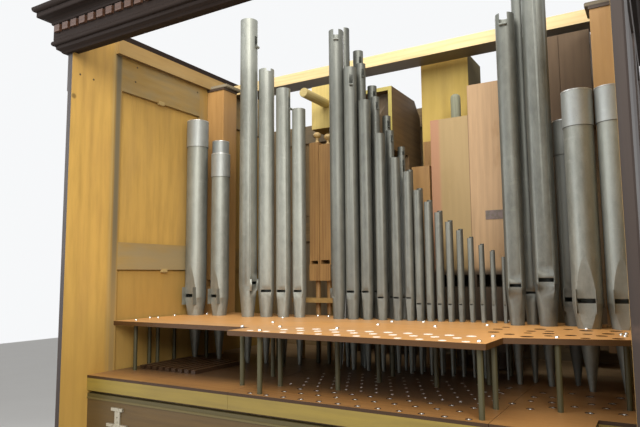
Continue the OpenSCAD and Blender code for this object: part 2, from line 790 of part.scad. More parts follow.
module small_wood_pipes_shape() {
    for (s = small_pipes)
        translate([s[0], s[1], 0])
            wood_pipe(s[2], s[3], small_t, s[4], small_foot, small_mouth, 9);
}

module small_stoppers_shape() {
    fit = 0.3;
    depth = 40;
    for (i = [0, 1]) {
        s = small_pipes[i];
        translate([s[0], s[1], s[4] - depth]) {
            translate([-s[2] / 2 + small_t + fit, -s[3] / 2 + small_t + fit, 0])
                cube([s[2] - 2 * (small_t + fit), s[3] - 2 * (small_t + fit), depth + 2]);
            translate([0, 0, depth + 1]) handle(15, 44);
        }
    }
}

module yellow_wood_pipe_shape() {
    translate([inner_w - 599, 880, 0]) wood_pipe(177, 170, wood_t, 1096, 60, 300, 22);
}

painted_pipes = [[inner_w - 542, 716, 130, 125, 825], [inner_w - 410, 716, 132, 130, 925]];

module painted_wood_pipes_shape() {
    for (s = painted_pipes)
        translate([s[0], s[1], 0]) wood_pipe(s[2], s[3], wood_t - 3, s[4], 60, 260, 18);
}

// Rack bars across the feet of the rear pipes, on two uprights each
module rear_racks_shape() {
    bar_h = 16;
    bar_y = 578;
    bar_z = 204;
    for (x = [[380, 570]]) {
        difference() {
            translate([x[0], bar_y, bar_z]) cube([x[1] - x[0], 74, bar_h]);
            for (i = [0, 1]) translate([small_pipes[i][0], small_pipes[i][1], bar_z - 1])
                cylinder(h = bar_h + 2, r = 9.4);
        }
        for (s = [0, 1]) translate([s == 0 ? x[0] : x[1] - 16, bar_y + 46, 0])
            cube([16, 16, bar_z]);
    }
}

// Nodes

module plinth() {
    color("#3a2a1e") at_case() plinth_shape();
}

module post_left() {
    color("#c9a45c") at_case() post_shape();
}

module post_right() {
    color("#c9a45c") at_case() right_side() post_shape();
}

module side_frame_left() {
    color("#b79a5f") at_case() side_frame_shape();
}

module side_frame_right() {
    color("#b79a5f") at_case() right_side() side_frame_shape();
}

module side_panels_left() {
    color("#9d8d62") at_case() side_panels_shape();
}

module side_panels_right() {
    color("#9d8d62") at_case() right_side() side_panels_shape();
}

module top_rails() {
    color("#d8bd7c") at_case() both_sides() top_rail_shape();
}

module front_top_rail() {
    color("#4a3223") at_case() front_top_rail_shape();
}

module cornice() {
    color("#3b281c") at_case() cornice_shape();
}

module dentils() {
    color("#6b4a36") at_case() dentils_shape();
}

module lower_front_frame() {
    color("#4a3223") at_case() translate([0, front_y, lower_bottom])
        panelled_frame(inner_w, lower_top - lower_bottom, front_cols, wall_t, front_stile, front_rows);
}

module lower_front_panels() {
    color("#54392a") at_case() translate([0, front_y, lower_bottom])
        panels_for_frame(inner_w, front_cols, wall_t, front_stile, front_rows);
}

module back_frame() {
    color("#7d6a4a") at_case() translate([0, case_back - wall_t, lower_bottom])
        panelled_frame(inner_w, back_h, front_cols, wall_t, front_stile, back_rows);
}

module back_panels() {
    color("#86734f") at_case() translate([0, case_back - wall_t, lower_bottom])
        panels_for_frame(inner_w, front_cols, wall_t, front_stile, back_rows);
}

module back_beam() {
    color("#e4cf96") at_case() translate([0, beam_y, beam_z]) cube([inner_w, beam_d, beam_h]);
}

module wind_chest() {
    color("#8a6e4a") at_case() wind_chest_shape();
}

module front_boards() {
    color("#b9a365") at_case() front_boards_shape();
}

module bung_board() {
    color("#7c6c49") at_case() bung_board_shape();
}

module turn_buttons() {
    color("#a9a9a4") at_case() turn_buttons_shape();
}

module chest_table() {
    color("#a3653d") at_case() chest_table_shape();
}

module toe_boards() {
    color("#a86a42") at_case() toe_boards_shape();
}

module rear_board() {
    color("#94724c") at_case() translate([0, chest_d, -table_t])
        cube([inner_w, case_back - wall_t - chest_d, table_t]);
}

module rack_board() {
    color("#b9824c") at_case() rack_board_shape();
}

module rack_pillars() {
    color("#8b7a4c") at_case() rack_pillars_shape();
}

module stopped_pipes() {
    color("#9b9b95") at_case() for (i = [0 : 4]) flue_pipe(stopped_pipe(i), 0.48);
}

module stopped_caps() {
    color("#b6b8b6") at_case() for (i = [0 : 4]) stopped_cap(stopped_pipe(i));
}

module tall_pipes_left() {
    color("#9c9c94") at_case() for (i = [0 : 3]) flue_pipe(tall_left(i), i == 0 ? 0.3 : 0);
}

module tall_pipes_right() {
    color("#9c9c94") at_case() for (i = [0 : 2]) flue_pipe(tall_right(i), i != 1 ? 0.3 : 0);
}

module tenor_pipes_front() {
    color("#97988f") at_case() for (i = [0 : tenor_n - 1]) flue_pipe(front_pipe(i), i == 0 ? 0.3 : 0);
}

module treble_pipes_front() {
    color("#9a9b92") at_case() for (i = [tenor_n : front_n - 1]) flue_pipe(front_pipe(i), 0);
}

module tenor_pipes_middle() {
    color("#8f9088") at_case() for (i = [0 : tenor_n - 1]) flue_pipe(middle_pipe(i), 0);
}

module treble_pipes_middle() {
    color("#92938b") at_case() for (i = [tenor_n : middle_n - 1]) flue_pipe(middle_pipe(i), 0);
}

module tenor_pipes_back() {
    color("#8b8c85") at_case() for (i = [0 : back_n - 1]) flue_pipe(back_pipe(i), 0);
}

module corner_pipes() {
    color("#b7793f") at_case() both_sides() corner_pipe();
}

module corner_caps() {
    color("#4d3f31") at_case() both_sides() corner_cap();
}

module mitred_pipe_left() {
    color("#cdb26a") at_case() mitred(mitre_left);
}

module mitred_pipe_middle() {
    color("#8d6e45") at_case() mitred(mitre_middle);
}

module mitred_pipe_right() {
    color("#7e6444") at_case() mitred(mitre_right);
}

module mitred_stoppers() {
    color("#c9ad63") at_case() {
        mitred_stopper(mitre_left, 12, 22);
        mitred_stopper(mitre_middle, 40, 20);
        mitred_stopper(mitre_right, 30, 20);
    }
}

module small_wood_pipes() {
    color("#9b6f3b") at_case() small_wood_pipes_shape();
}

module small_stoppers() {
    color("#b28a4c") at_case() small_stoppers_shape();
}

module yellow_wood_pipe() {
    color("#cdb467") at_case() yellow_wood_pipe_shape();
}

module painted_wood_pipes() {
    color("#c99a78") at_case() painted_wood_pipes_shape();
}

module rear_racks() {
    color("#c9a35f") at_case() rear_racks_shape();
}

plinth();
post_left();
post_right();
side_frame_left();
side_frame_right();
side_panels_left();
side_panels_right();
top_rails();
front_top_rail();
cornice();
dentils();
lower_front_frame();
lower_front_panels();
back_frame();
back_panels();
back_beam();
wind_chest();
front_boards();
bung_board();
turn_buttons();
chest_table();
toe_boards();
rear_board();
rack_board();
rack_pillars();
stopped_pipes();
stopped_caps();
tall_pipes_left();
tall_pipes_right();
tenor_pipes_front();
treble_pipes_front();
tenor_pipes_middle();
treble_pipes_middle();
tenor_pipes_back();
corner_pipes();
corner_caps();
mitred_pipe_left();
mitred_pipe_middle();
mitred_pipe_right();
mitred_stoppers();
small_wood_pipes();
small_stoppers();
yellow_wood_pipe();
painted_wood_pipes();
rear_racks();
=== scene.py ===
"""Chamber pipe organ: finishes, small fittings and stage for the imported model."""
import json
from math import cos, hypot, pi, radians, sin

import bmesh
import bpy
from bpy.props import FloatProperty, FloatVectorProperty, IntProperty, PointerProperty
from mathutils import Matrix, Vector

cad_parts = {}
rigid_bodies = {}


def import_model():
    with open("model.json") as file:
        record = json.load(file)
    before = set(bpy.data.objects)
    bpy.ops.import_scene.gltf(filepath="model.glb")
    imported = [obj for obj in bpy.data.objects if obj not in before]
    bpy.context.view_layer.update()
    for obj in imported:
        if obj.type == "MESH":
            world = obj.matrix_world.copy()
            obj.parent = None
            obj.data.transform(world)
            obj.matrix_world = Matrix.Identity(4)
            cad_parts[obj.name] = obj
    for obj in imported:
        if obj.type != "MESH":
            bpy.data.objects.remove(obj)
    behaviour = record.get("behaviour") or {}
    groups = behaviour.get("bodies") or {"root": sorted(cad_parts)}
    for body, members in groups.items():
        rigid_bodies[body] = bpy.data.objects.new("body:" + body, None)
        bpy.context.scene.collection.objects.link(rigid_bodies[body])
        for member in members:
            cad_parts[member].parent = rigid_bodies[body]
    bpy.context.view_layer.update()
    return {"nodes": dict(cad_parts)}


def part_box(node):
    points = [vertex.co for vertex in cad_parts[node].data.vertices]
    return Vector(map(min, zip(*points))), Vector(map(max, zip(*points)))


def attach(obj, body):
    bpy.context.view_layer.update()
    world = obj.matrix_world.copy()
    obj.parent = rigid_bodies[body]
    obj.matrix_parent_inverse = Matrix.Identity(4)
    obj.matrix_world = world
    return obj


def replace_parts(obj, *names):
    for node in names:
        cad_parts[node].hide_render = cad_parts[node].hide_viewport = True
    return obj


bl_info = {
    "name": "Chamber Pipe Organ",
    "version": (1, 0, 0),
    "blender": (4, 5, 0),
    "location": "View3D > Sidebar > Organ",
    "description": "Finishes, fittings and stage of a chamber pipe organ",
    "category": "Object",
}

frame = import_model()

# The case is measured in millimetres from the left inner wall, the chest front and the toe boards' top
INNER_W, MID_Y, CHEST_Z = 1506, 413.5, 1380
RACK_Z, RACK_T = 146, 13
RACK_TOP = RACK_Z + RACK_T


def at(x, y, z=0):
    """A place in the case, in metres in the row's frame."""
    return Vector((x - INNER_W / 2, y - MID_Y, z + CHEST_Z)) / 1000


# Pipes, by the same rules as the construction

TENORS, FRONT, MIDDLE, BACK = 5, 15, 14, 4
FIRST_X = 633


def step_of(i):
    return 3 * i if i < TENORS else 12 + 2 * (i - TENORS + 1)


def row_x(i):
    if i < TENORS:
        return FIRST_X + 50.02 * i
    return FIRST_X + 50.02 * (TENORS - 1) + 40.05 + 31.5 * (i - TENORS)


def foot_of(i):
    return 246 if i < 3 else 228.5 if i < 6 else 211


def pipe(x, y, largest, longest, width_step, length_step, foot, turn):
    return {"x": x, "y": y, "r": largest * 2 ** (-width_step / 17) / 2, "foot": foot,
            "long": longest * 2 ** (-length_step / 12), "turn": radians(turn)}


def metal_pipes():
    """Every metal pipe with its place, radius, foot height, speaking length and the way its mouth turns."""
    made = []
    for y, width, longest, shifts, turns in (
            (474, 50, 897, [0] * FRONT, [-70] + [-4] * (FRONT - 1)),
            (522, 38, 928, [6] + [16] * 3 + [4] + [-10] * (MIDDLE - 5), [-10] * MIDDLE),
            (562, 36, 844, [38] * BACK, [-10] * BACK)):
        for i, (shift, turn) in enumerate(zip(shifts, turns)):
            x, step = row_x(i) + shift, step_of(i)
            made.append(pipe(x, y + 0.1 * (x - FIRST_X), width, longest, step, step, foot_of(i), turn))
    for x, y, s, foot, turn in ((290, 432, 1, 273, 88), (352, 456, 4, 246, 32), (417, 468, 6, 246, 8),
                                (473, 484, 8, 246, 10), (1200, 472, 5, 266, 8), (1232, 520, 11, 246, 0),
                                (1280, 480, 0, 280, 8)):
        made.append(pipe(x, y, 66, 1024, s, s, foot, turn))
    for x, y, w, s, turn in ((44, 432, 0, 0, 4), (101, 500, 6, 2, 0), (148, 446, 4, 4, 0),
                             (1384, 452, 1, 3, 0), (1464, 460, 2, 3, 8)):
        made.append(pipe(x, y, 78, 665, w, s, 226, turn))
    return made


# Empty holes: depth, toe and rack radius, first place and number; then rows of small toe holes and
# the scattered holes at the right, with their distance from the right wall
EMPTY_PITCH, SMALL_PITCH, SMALL_R = 52, 44, 3.5
EMPTY_ROWS = ((18, 5, 7, 618, 12), (79, 5, 8, 684, 10), (128, 5.5, 9, 702, 10))
SMALL_ROWS = ((176, 640), (222, 662), (268, 640), (314, 662), (360, 640), (406, 662))
SMALL_N = 13
RIGHT_HOLES = ((271, 214, 6, 13), (223, 176, 6, 15), (182, 214, 6, 11), (192, 268, 6, 14), (238, 262, 5, 10),
               (240, 312, 6, 12), (200, 328, 6, 12), (230, 375, 6, 15), (140, 246, 6, 13), (104, 196, 7, 11),
               (40, 216, 7, 13), (77, 262, 6, 13), (110, 292, 6, 11), (68, 320, 7, 14), (122, 380, 7, 16),
               (57, 396, 7, 15), (166, 400, 6, 12), (326, 330, 6, 13), (316, 250, 6, 14), (320, 394, 6, 11))
# Rack pillars, and pins that stand beside them
PILLARS = ((58, 137), (12, 240), (41, 250), (12, 358), (66, 470), (445, 422), (533, 94), (527, 250),
           (509, 546), (553, 545), (330, 560), (648, 20), (634, 133), (799, 161), (850, 309), (842, 425),
           (1015, 320), (1216, 26), (1217, 137), (1347, 175), (1477, 264), (1130, 420), (1150, 590))
LOOSE_PINS = ((933, 451), (1381, 418), (1467, 296), (1476, 322))


# Pipe tops cut open for tuning: node, axis, radius, height of the cut, the slot's foot and head, the new
# top, the way that the slot faces and half its angle in degrees, the radius of its curl
OPEN_TOPS = (("tenor_pipes_front", 633, 474, 25, 1062, 1101, 1138, 1138, 29, 21, 4.2),
             ("tenor_pipes_middle", 639, 522, 19, 1100, 1134, 1162, 1162, -11, 36, 4),
             ("tall_pipes_left", 352, 456, 28.03, 1030, 1038, 1048, 1048, 52, 17, 0),
             ("tall_pipes_left", 290, 432, 31.68, 1120, 1136, 1176, 1239.5, 94, 17, 5.5),
             ("tall_pipes_right", 1200, 472, 26.91, 930, 1020, 1056, 1056, 3, 25, 4.5),
             ("tall_pipes_right", 1232, 520, 21.07, 725, 1128, 1163, 1163, -7, 25, 4))
# A sliding cap's length against its pipe's width
CAP_SHARE = 1.25
# The half hidden pipe: the axis of its like, its own axis, its share of that width, how much lower it ends
HIDDEN_FROM, HIDDEN_AT, HIDDEN_SHARE, HIDDEN_DROP = (1384, 452), (1342, 520), 0.88, 60
UP, FRONTWARD, ONE = (0, 0, 1), (0, -1, 0), (1, 1, 1)
SHARP_ANGLE = radians(38)


def tone(colour, factor):
    return [min(1, c * factor) for c in colour]


def feed(tree, node, inputs):
    """Gives sockets of a node a link, a colour or a plain value."""
    for key, value in inputs.items():
        socket, source = node.inputs[key], getattr(value, "socket", value)
        if isinstance(source, bpy.types.NodeSocket):
            tree.links.new(source, socket)
        elif socket.type == "RGBA" and len(source) == 3:
            socket.default_value = (*source, 1)
        else:
            socket.default_value = source


def add_node(tree, kind, inputs=None, **settings):
    node = tree.nodes.new(kind)
    for key, value in settings.items():
        setattr(node, key, value)
    feed(tree, node, inputs or {})
    return node


def adder(tree):
    """A function that adds a node to the tree and gives its outputs."""
    return lambda *parts, **settings: add_node(tree, *parts, **settings).outputs


# Shader expressions

class Value:
    """A socket of a finish. Python's operators on it add Math nodes."""

    def __init__(self, finish, socket):
        self.finish, self.socket = finish, socket

    def math(self, operation, *inputs):
        return self.finish.node("ShaderNodeMath", dict(enumerate(inputs)), operation=operation)[0]

    def __add__(self, other): return self.math("ADD", self, other)
    def __radd__(self, other): return self.math("ADD", other, self)
    def __sub__(self, other): return self.math("SUBTRACT", self, other)
    def __rsub__(self, other): return self.math("SUBTRACT", other, self)
    def __mul__(self, other): return self.math("MULTIPLY", self, other)
    def __pow__(self, other): return self.math("POWER", self, other)
    def __gt__(self, other): return self.math("GREATER_THAN", self, other)
    def __lt__(self, other): return self.math("LESS_THAN", self, other)
    def __abs__(self): return self.math("ABSOLUTE", self)

    def wave(self, length):
        """0 to 1 and back over each length."""
        return self.math("SINE", self * (2 * pi / length)) * 0.5 + 0.5

    def between(self, low, high):
        """Rises smoothly from 0 at low to 1 at high."""
        return self.finish.node("ShaderNodeMapRange", {"Value": self, "From Min": low, "From Max": high},
                                interpolation_type="SMOOTHSTEP")[0]


class Outputs:
    """The outputs of a node, by name or number."""

    def __init__(self, finish, node):
        self.finish, self.node = finish, node

    def __getitem__(self, key):
        return Value(self.finish, self.node.outputs[key])


class Finish:
    """One material, built up from expressions on the place in the object."""

    def __init__(self, name):
        self.material = bpy.data.materials.new(name)
        self.material.use_nodes = True
        self.tree = self.material.node_tree
        self.shader = self.tree.nodes["Principled BSDF"]
        self.coordinates = self.node("ShaderNodeTexCoord")["Object"]
        split = self.node("ShaderNodeSeparateXYZ", {0: self.coordinates})
        self.x, self.y, self.z = split["X"], split["Y"], split["Z"]

    def node(self, kind, inputs=None, **settings):
        return Outputs(self, add_node(self.tree, kind, inputs, **settings))

    def vector(self, x, y, z):
        return self.node("ShaderNodeCombineXYZ", {0: x, 1: y, 2: z})[0]

    def noise(self, vector, scale, detail=3, roughness=0.55):
        return self.node("ShaderNodeTexNoise", {"Vector": vector, "Scale": scale, "Detail": detail,
                                                "Roughness": roughness})[0]

    def cells(self, scale):
        return self.node("ShaderNodeTexVoronoi", {"Vector": self.coordinates, "Scale": scale})["Distance"]

    def mix(self, share, one, other):
        return self.node("ShaderNodeMix", {0: share, 6: one, 7: other}, data_type="RGBA")[2]

    def facing(self, axis):
        """How far a face looks along an axis: 1 straight along it, 0 across it, -1 against it."""
        normal = self.node("ShaderNodeNewGeometry")["Normal"]
        return self.node("ShaderNodeSeparateXYZ", {0: normal})[axis]

    def banded(self, colour, bands):
        """A colour with bands over it: coordinate, limits, softness, colour and share of each."""
        for coordinate, low, high, soft, tint, share in bands:
            value = getattr(self, coordinate)
            inside = value.between(low - soft, low + soft) * (1 - value.between(high - soft, high + soft))
            colour = self.mix(inside * share, colour, tint)
        return colour

    def done(self, colour, roughness, bump=None, **constants):
        """The material. bump is a height, the strength of its relief and its depth in metres."""
        inputs = {"Base Color": colour, "Roughness": roughness}
        if bump:
            keys = ("Height", "Strength", "Distance")
            inputs["Normal"] = self.node("ShaderNodeBump", dict(zip(keys, bump)))[0]
        inputs.update((key.replace("_", " "), value) for key, value in constants.items())
        feed(self.tree, self.shader, inputs)
        return self.material


def grain(f, way, centre, spacing, wander, cross=None):
    """Growth rings and fibres of a board whose grain runs along one axis. cross is a coordinate
    and the spans of it where the grain runs along Z instead."""
    ways = {"X": (f.x, f.y, f.z), "Y": (f.y, f.z, f.x), "Z": (f.z, f.x, f.y)}
    along, one, two = ways[way]
    if cross:
        coordinate = {"x": f.x, "y": f.y}[cross[0]]
        inside = 0
        for low, high in cross[1]:
            inside = inside + (coordinate > low) * (coordinate < high)
        along, one, two = (a + (b - a) * inside for a, b in zip(ways[way], ways["Z"]))
    flow = f.vector(one, two, along * 0.13)
    dx = one - centre[0] + (f.noise(flow, 6, 2) - 0.5) * (wander * 4)
    dy = two - centre[1] + (f.noise(flow, 21, 2) - 0.5) * wander
    rings = ((dx * dx + dy * dy) ** 0.5).wave(spacing) ** 2.4
    fibres = f.noise(f.vector(one, two, along * 0.03), 300, 2)
    patches = f.noise(f.vector(one, two, along * 0.3), 5, 4, 0.6)
    return rings, fibres, patches, flow


def wood(name, way="Z", pale=(0.6, 0.45, 0.22), deep=(0.35, 0.22, 0.1), centre=(0.27, 0.41), spacing=0.012,
         wander=0.012, patch=None, patch_share=0.6, rough=0.5, edge=None, stain=None, stain_from=0,
         cross=None, knots=0, dust=0, coat=0, ringed=0.3, bands=(), spots=0, gloss=0.4,
         under=None, side=None):
    """Planed or worn timber: rings, fibres, patches, knots and bands, with another colour on its edges and
    in its holes (dark board edges, and painted shade in the holes), painted shade under it or on its sides,
    a dark stain beyond a distance from the middle, and dust on top."""
    f = Finish(name)
    rings, fibres, patches, flow = grain(f, way, centre, spacing, wander, cross)
    streaks = f.noise(flow, 46, 4, 0.6)
    colour = f.mix(rings * ringed + streaks.between(0.35, 0.75) * 0.45 + fibres * 0.2, pale, deep)
    if knots:
        knot = 1 - f.cells(knots).between(0.03, 0.085)
        colour = f.mix(knot * 0.8, colour, tone(deep, 0.35))
    if patch:
        colour = f.mix(patches.between(0.42, 0.68) * patch_share, colour, patch)
    colour = f.banded(colour, bands)
    # Upright faces take the edge colour: dark board edges, and painted shade on the walls of the holes
    if edge:
        upright = 1 - abs(f.facing("Z")).between(0.78, 0.95)
        colour = f.mix(upright * 0.97, colour, edge)
    # Painted shade: a darker colour on faces that look down
    if under:
        colour = f.mix((f.facing("Z") * -1).between(0.6, 0.9) * 0.9, colour, under)
    # Painted shade: a darker colour on faces that look along X, the sides
    if side:
        colour = f.mix(abs(f.facing("X")).between(0.6, 0.9) * 0.92, colour, side)
    if spots:
        colour = f.mix((1 - f.cells(spots).between(0.03, 0.07)) * 0.7, colour, tone(deep, 0.25))
    roughness = rough + (fibres - 0.5) * 0.2 + (patches - 0.5) * 0.15
    if stain:
        worn = f.noise(f.coordinates, 9, 5, 0.65).between(0.6, 0.72)
        dark = f.mix(rings * 0.5 + fibres * 0.4, stain, tone(stain, 0.55))
        dark = f.mix(worn * 0.5, dark, tone(stain, 2.6))
        outside = (abs(f.x) > stain_from) if stain_from else 1
        colour = f.mix(outside, colour, dark)
    if dust:
        lying = f.facing("Z").between(0.7, 0.95) * f.noise(f.coordinates, 14, 4).between(0.3, 0.7)
        colour = f.mix(lying * dust, colour, (0.42, 0.39, 0.34))
        roughness = roughness + lying * 0.3
    return f.done(colour, roughness, (rings * 0.35 + fibres * 0.65, 0.25, 0.0008), Coat_Weight=coat,
                  Coat_Roughness=0.25, Specular_IOR_Level=gloss)


def pipe_metal(name, base, pale_share, deep_share, rough=0.5, shine=0.55):
    """Planed tin and lead: clouded, lightly spotted, with long scratches, dull and smeared."""
    f = Finish(name)
    pale, deep = tone(base, pale_share), tone(base, deep_share)
    low = f.vector(f.x, f.y, f.z * 0.45)
    clouds = f.noise(low, 11, 4, 0.6)
    mottle = f.noise(low, 62, 5, 0.7)
    scratches = f.noise(f.vector(f.x, f.y, f.z * 0.02), 240, 2)
    smears = f.noise(f.vector(f.x * 0.3, f.y * 0.3, f.z), 46, 3, 0.6)
    each = f.noise(f.vector(f.x, f.y, 0), 17, 1)
    colour = f.mix(mottle.between(0.3, 0.7) * 0.5 + clouds.between(0.3, 0.6) * 0.5, deep, pale)
    colour = f.mix(smears.between(0.6, 0.75) * 0.3, colour, tone(pale, 1.25))
    colour = f.mix((1 - f.cells(150).between(0.08, 0.2)) * 0.3, colour, tone(deep, 0.6))
    colour = f.mix(each.between(0.35, 0.65) * 0.4, colour, tone(pale, 1.15))
    roughness = rough + (mottle - 0.5) * 0.25 + (scratches - 0.5) * 0.15
    height = clouds * 0.7 + mottle * 0.2 + scratches * 0.1
    return f.done(colour, roughness, (height, 0.3, 0.0012), Metallic=shine)


def plain(name, scale, detail, one, other, rough, swing, limits=None, relief=None, run=1, **constants):
    """Two colours clouded into each other, with a roughness that follows the cloud. run below 1 draws the
    cloud out along Z."""
    f = Finish(name)
    cloud = f.noise(f.vector(f.x, f.y, f.z * run), scale, detail)
    share = cloud.between(*limits) if limits else cloud
    return f.done(f.mix(share, one, other), rough + cloud * swing, relief and (cloud, *relief), **constants)


# Sizes and colours a user may change

def number(name, description, default, unit="LENGTH", least=0):
    return FloatProperty(name=name, description=description, default=default, min=least, unit=unit)


def shade(name, description, default):
    return FloatVectorProperty(name=name, description=description, default=default, min=0, max=1,
                               subtype="COLOR")


class OrganFittings(bpy.types.PropertyGroup):
    pin_radius: number("Pin radius", "Radius of the pins over the rack pillars", 0.0052, least=0.001)
    # Width of the bright rims in the toe holes, which are painted glints
    glint_rim_wall: number("Glint rim wall", "Width of the rim in a toe hole", 0.0014, least=0.0005)
    seam_radius: number("Seam radius", "Half the width of the soldered pipe seams", 0.0011, least=0.0003)
    peg_radius: number("Peg radius", "Radius of the pegs that hold the frame joints", 0.0055, least=0.001)
    seed: IntProperty(name="Seed", default=7,
                      description="Seed of the small differences between like fittings")


class OrganColours(bpy.types.PropertyGroup):
    pine: shade("Pine", "Bare pine of the case inside", (0.66, 0.41, 0.105))
    stain: shade("Stain", "Dark stain of the case outside", (0.03, 0.018, 0.013))
    wax: shade("Waxed board", "Waxed wood of the rackboard and toe boards", (0.68, 0.35, 0.115))
    metal: shade("Pipe metal", "Pale tone of the pipe metal", (0.22, 0.23, 0.205))
    cap: shade("Cap metal", "Pale tone of the sliding caps", (0.36, 0.38, 0.365))
    paint: shade("Pipe paint", "Paint of the two wide pipes", (0.52, 0.34, 0.185))


class OrganStage(bpy.types.PropertyGroup):
    key_power: number("Key light", "Power of the large soft light", 190, "POWER")
    top_power: number("Top light", "Power of the light above the open front", 55, "POWER")
    fill_power: number("Fill light", "Power of the light from the left", 70, "POWER")
    room_light: number("Room light", "Level of the light from all round", 0.38, "NONE")


# Meshes

def mesh_of(name, build):
    """A mesh that the build function fills as a bmesh, with its normals outward."""
    shape = bmesh.new()
    build(shape)
    bmesh.ops.remove_doubles(shape, verts=shape.verts, dist=1e-7)
    bmesh.ops.recalc_face_normals(shape, faces=shape.faces)
    mesh = bpy.data.meshes.new(name)
    shape.to_mesh(mesh)
    shape.free()
    return mesh


def skin(shape, loops):
    """Faces from each closed loop of vertices to the next. A vertex that comes twice leaves a triangle."""
    for lower, upper in zip(loops, loops[1:]):
        for k in range(len(lower)):
            after = (k + 1) % len(lower)
            corners = [lower[k], lower[after], upper[after], upper[k]]
            shape.faces.new(sorted(set(corners), key=corners.index))


def circle(count):
    return [2 * pi * k / count for k in range(count)]


def lathe(profile, sides=20, hollow=False):
    """Build function for a turned form from its radius and height pairs: closed at both ends, or, where
    it is hollow, with the last pair joined to the first."""
    def build(shape):
        rings = []
        for radius, height in profile:
            if radius == 0:
                rings.append([shape.verts.new((0, 0, height))] * sides)
            else:
                rings.append([shape.verts.new((radius * cos(a), radius * sin(a), height))
                              for a in circle(sides)])
        skin(shape, rings + rings[:1] if hollow else rings)
        for ring in () if hollow else (rings[0], rings[-1]):
            if len(set(ring)) == sides:
                shape.faces.new(ring)
    return build


def rim_form(wall):
    """Build function for a rim of round section on a circle of radius 1."""
    return lathe([(1 + wall * cos(b), wall * sin(b)) for b in circle(8)], hollow=True)


def sleeve(outer, inner, sides=24):
    """Build function for a straight sleeve of height 1."""
    return lathe([(outer, 0), (outer, 1), (inner, 1), (inner, 0)], sides, hollow=True)


def block(low, high, soft):
    """Build function for a block between two places in the case, with its edges softened, in millimetres."""
    def build(shape):
        one, other = at(*low), at(*high)
        bmesh.ops.create_cube(shape, size=1, matrix=Matrix.Translation((one + other) / 2)
                              @ Matrix.Diagonal((*(other - one), 1)))
        bmesh.ops.bevel(shape, geom=shape.edges[:], offset=soft / 1000, segments=2, affect="EDGES")
    return build


def keep_only(shape, wanted):
    bmesh.ops.delete(shape, geom=[v for v in shape.verts if not wanted(v)], context="VERTS")


def island(shape, start):
    """The vertices joined to one vertex."""
    found, edge = {start}, [start]
    while edge:
        vertex = edge.pop()
        for link in vertex.link_edges:
            other = link.other_vert(vertex)
            if other not in found:
                found.add(other)
                edge.append(other)
    return found


def copy_of(shape, node):
    """Fills a bmesh with a CAD node whose vertices are joined."""
    shape.from_mesh(frame["nodes"][node].data)
    bmesh.ops.remove_doubles(shape, verts=shape.verts, dist=1e-6)


def pipe_round(shape, x, y, reach):
    """The vertices of the tallest form that comes within reach, in millimetres, of an axis."""
    axis = at(x, y)
    near = [v for v in shape.verts if hypot(v.co.x - axis.x, v.co.y - axis.y) < reach / 1000]
    return island(shape, max(near, key=lambda v: v.co.z))


def open_top(shape, x, y, r, cut, slot_foot, slot_head, top, facing, half, curl):
    """Cuts a pipe off and stands an upper part with a tuning slot on it, with the metal of the slot
    rolled outward at its foot."""
    pipe_verts = pipe_round(shape, x, y, r * 1.004)
    faces = {f for v in pipe_verts for f in v.link_faces}
    edges = {e for v in pipe_verts for e in v.link_edges}
    bmesh.ops.bisect_plane(shape, geom=[*pipe_verts, *edges, *faces], plane_co=at(0, 0, cut),
                           plane_no=(0, 0, 1), clear_outer=True)
    wall, count, slots = 1.3, 48, 8
    middle, half = radians(facing - 90), radians(half)
    angles = [middle - half + 2 * half * k / slots for k in range(slots)]
    angles += [middle + half + (2 * pi - 2 * half) * k / (count - slots) for k in range(count - slots)]

    def spot(k, radius, height):
        a = angles[k % count]
        return shape.verts.new(at(x + radius * cos(a), y + radius * sin(a), height))

    def sheet(k, low, high):
        """One strip of the wall as a closed block, with no faces where the next strip joins it."""
        ends = [[spot(k + side, radius, height) for radius, height in
                 ((r, low), (r, high), (r - wall, high), (r - wall, low))] for side in (0, 1)]
        skin(shape, ends)
        return ends

    for k in range(count):
        in_slot = k < slots
        ends = sheet(k, cut, slot_foot if in_slot else top)
        if k == slots:
            shape.faces.new(ends[0])
        if k == count - 1:
            shape.faces.new(ends[1])
        if in_slot and slot_head < top:
            sheet(k, slot_head, top)
    if curl:
        steps, step_turn, tighter, half_thick, width_share = 22, radians(17.4), 0.42, 0.45, 0.97
        inset, drop = 0.4, 0.8
        out = Vector((cos(middle), sin(middle), 0))
        along = Vector((-sin(middle), cos(middle), 0))
        width, start = r * sin(half) * width_share, r * cos(half) - inset
        loops = []
        for k in range(steps + 1):
            turn, radius = step_turn * k, curl * (1 - tighter * k / steps)
            loop = []
            for thick, sides in ((half_thick, (-1, 1)), (-half_thick, (1, -1))):
                reach = start + curl - (radius + thick) * cos(turn)
                height = slot_foot - drop + (radius + thick) * sin(turn)
                loop += [shape.verts.new(at(x, y, height) + (out * reach + along * width * side) / 1000)
                         for side in sides]
            loops.append(loop)
        skin(shape, loops)
        shape.faces.new(loops[0])
        shape.faces.new(loops[-1])


def placed(name, data):
    """A new object in the scene."""
    made = bpy.data.objects.new(name, data)
    bpy.context.scene.collection.objects.link(made)
    return made


def show(name, form, material, slot_name, smooth=True):
    """Puts a finished piece, a mesh or a build function, in the scene, riding on the case."""
    mesh = mesh_of(name, form) if callable(form) else form
    mesh.materials.clear()
    mesh.materials.append(material)
    if smooth:
        mesh.shade_smooth()
        mesh.set_sharp_from_angle(angle=SHARP_ANGLE)
    piece = placed(name, mesh)
    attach(piece, "root")
    return piece


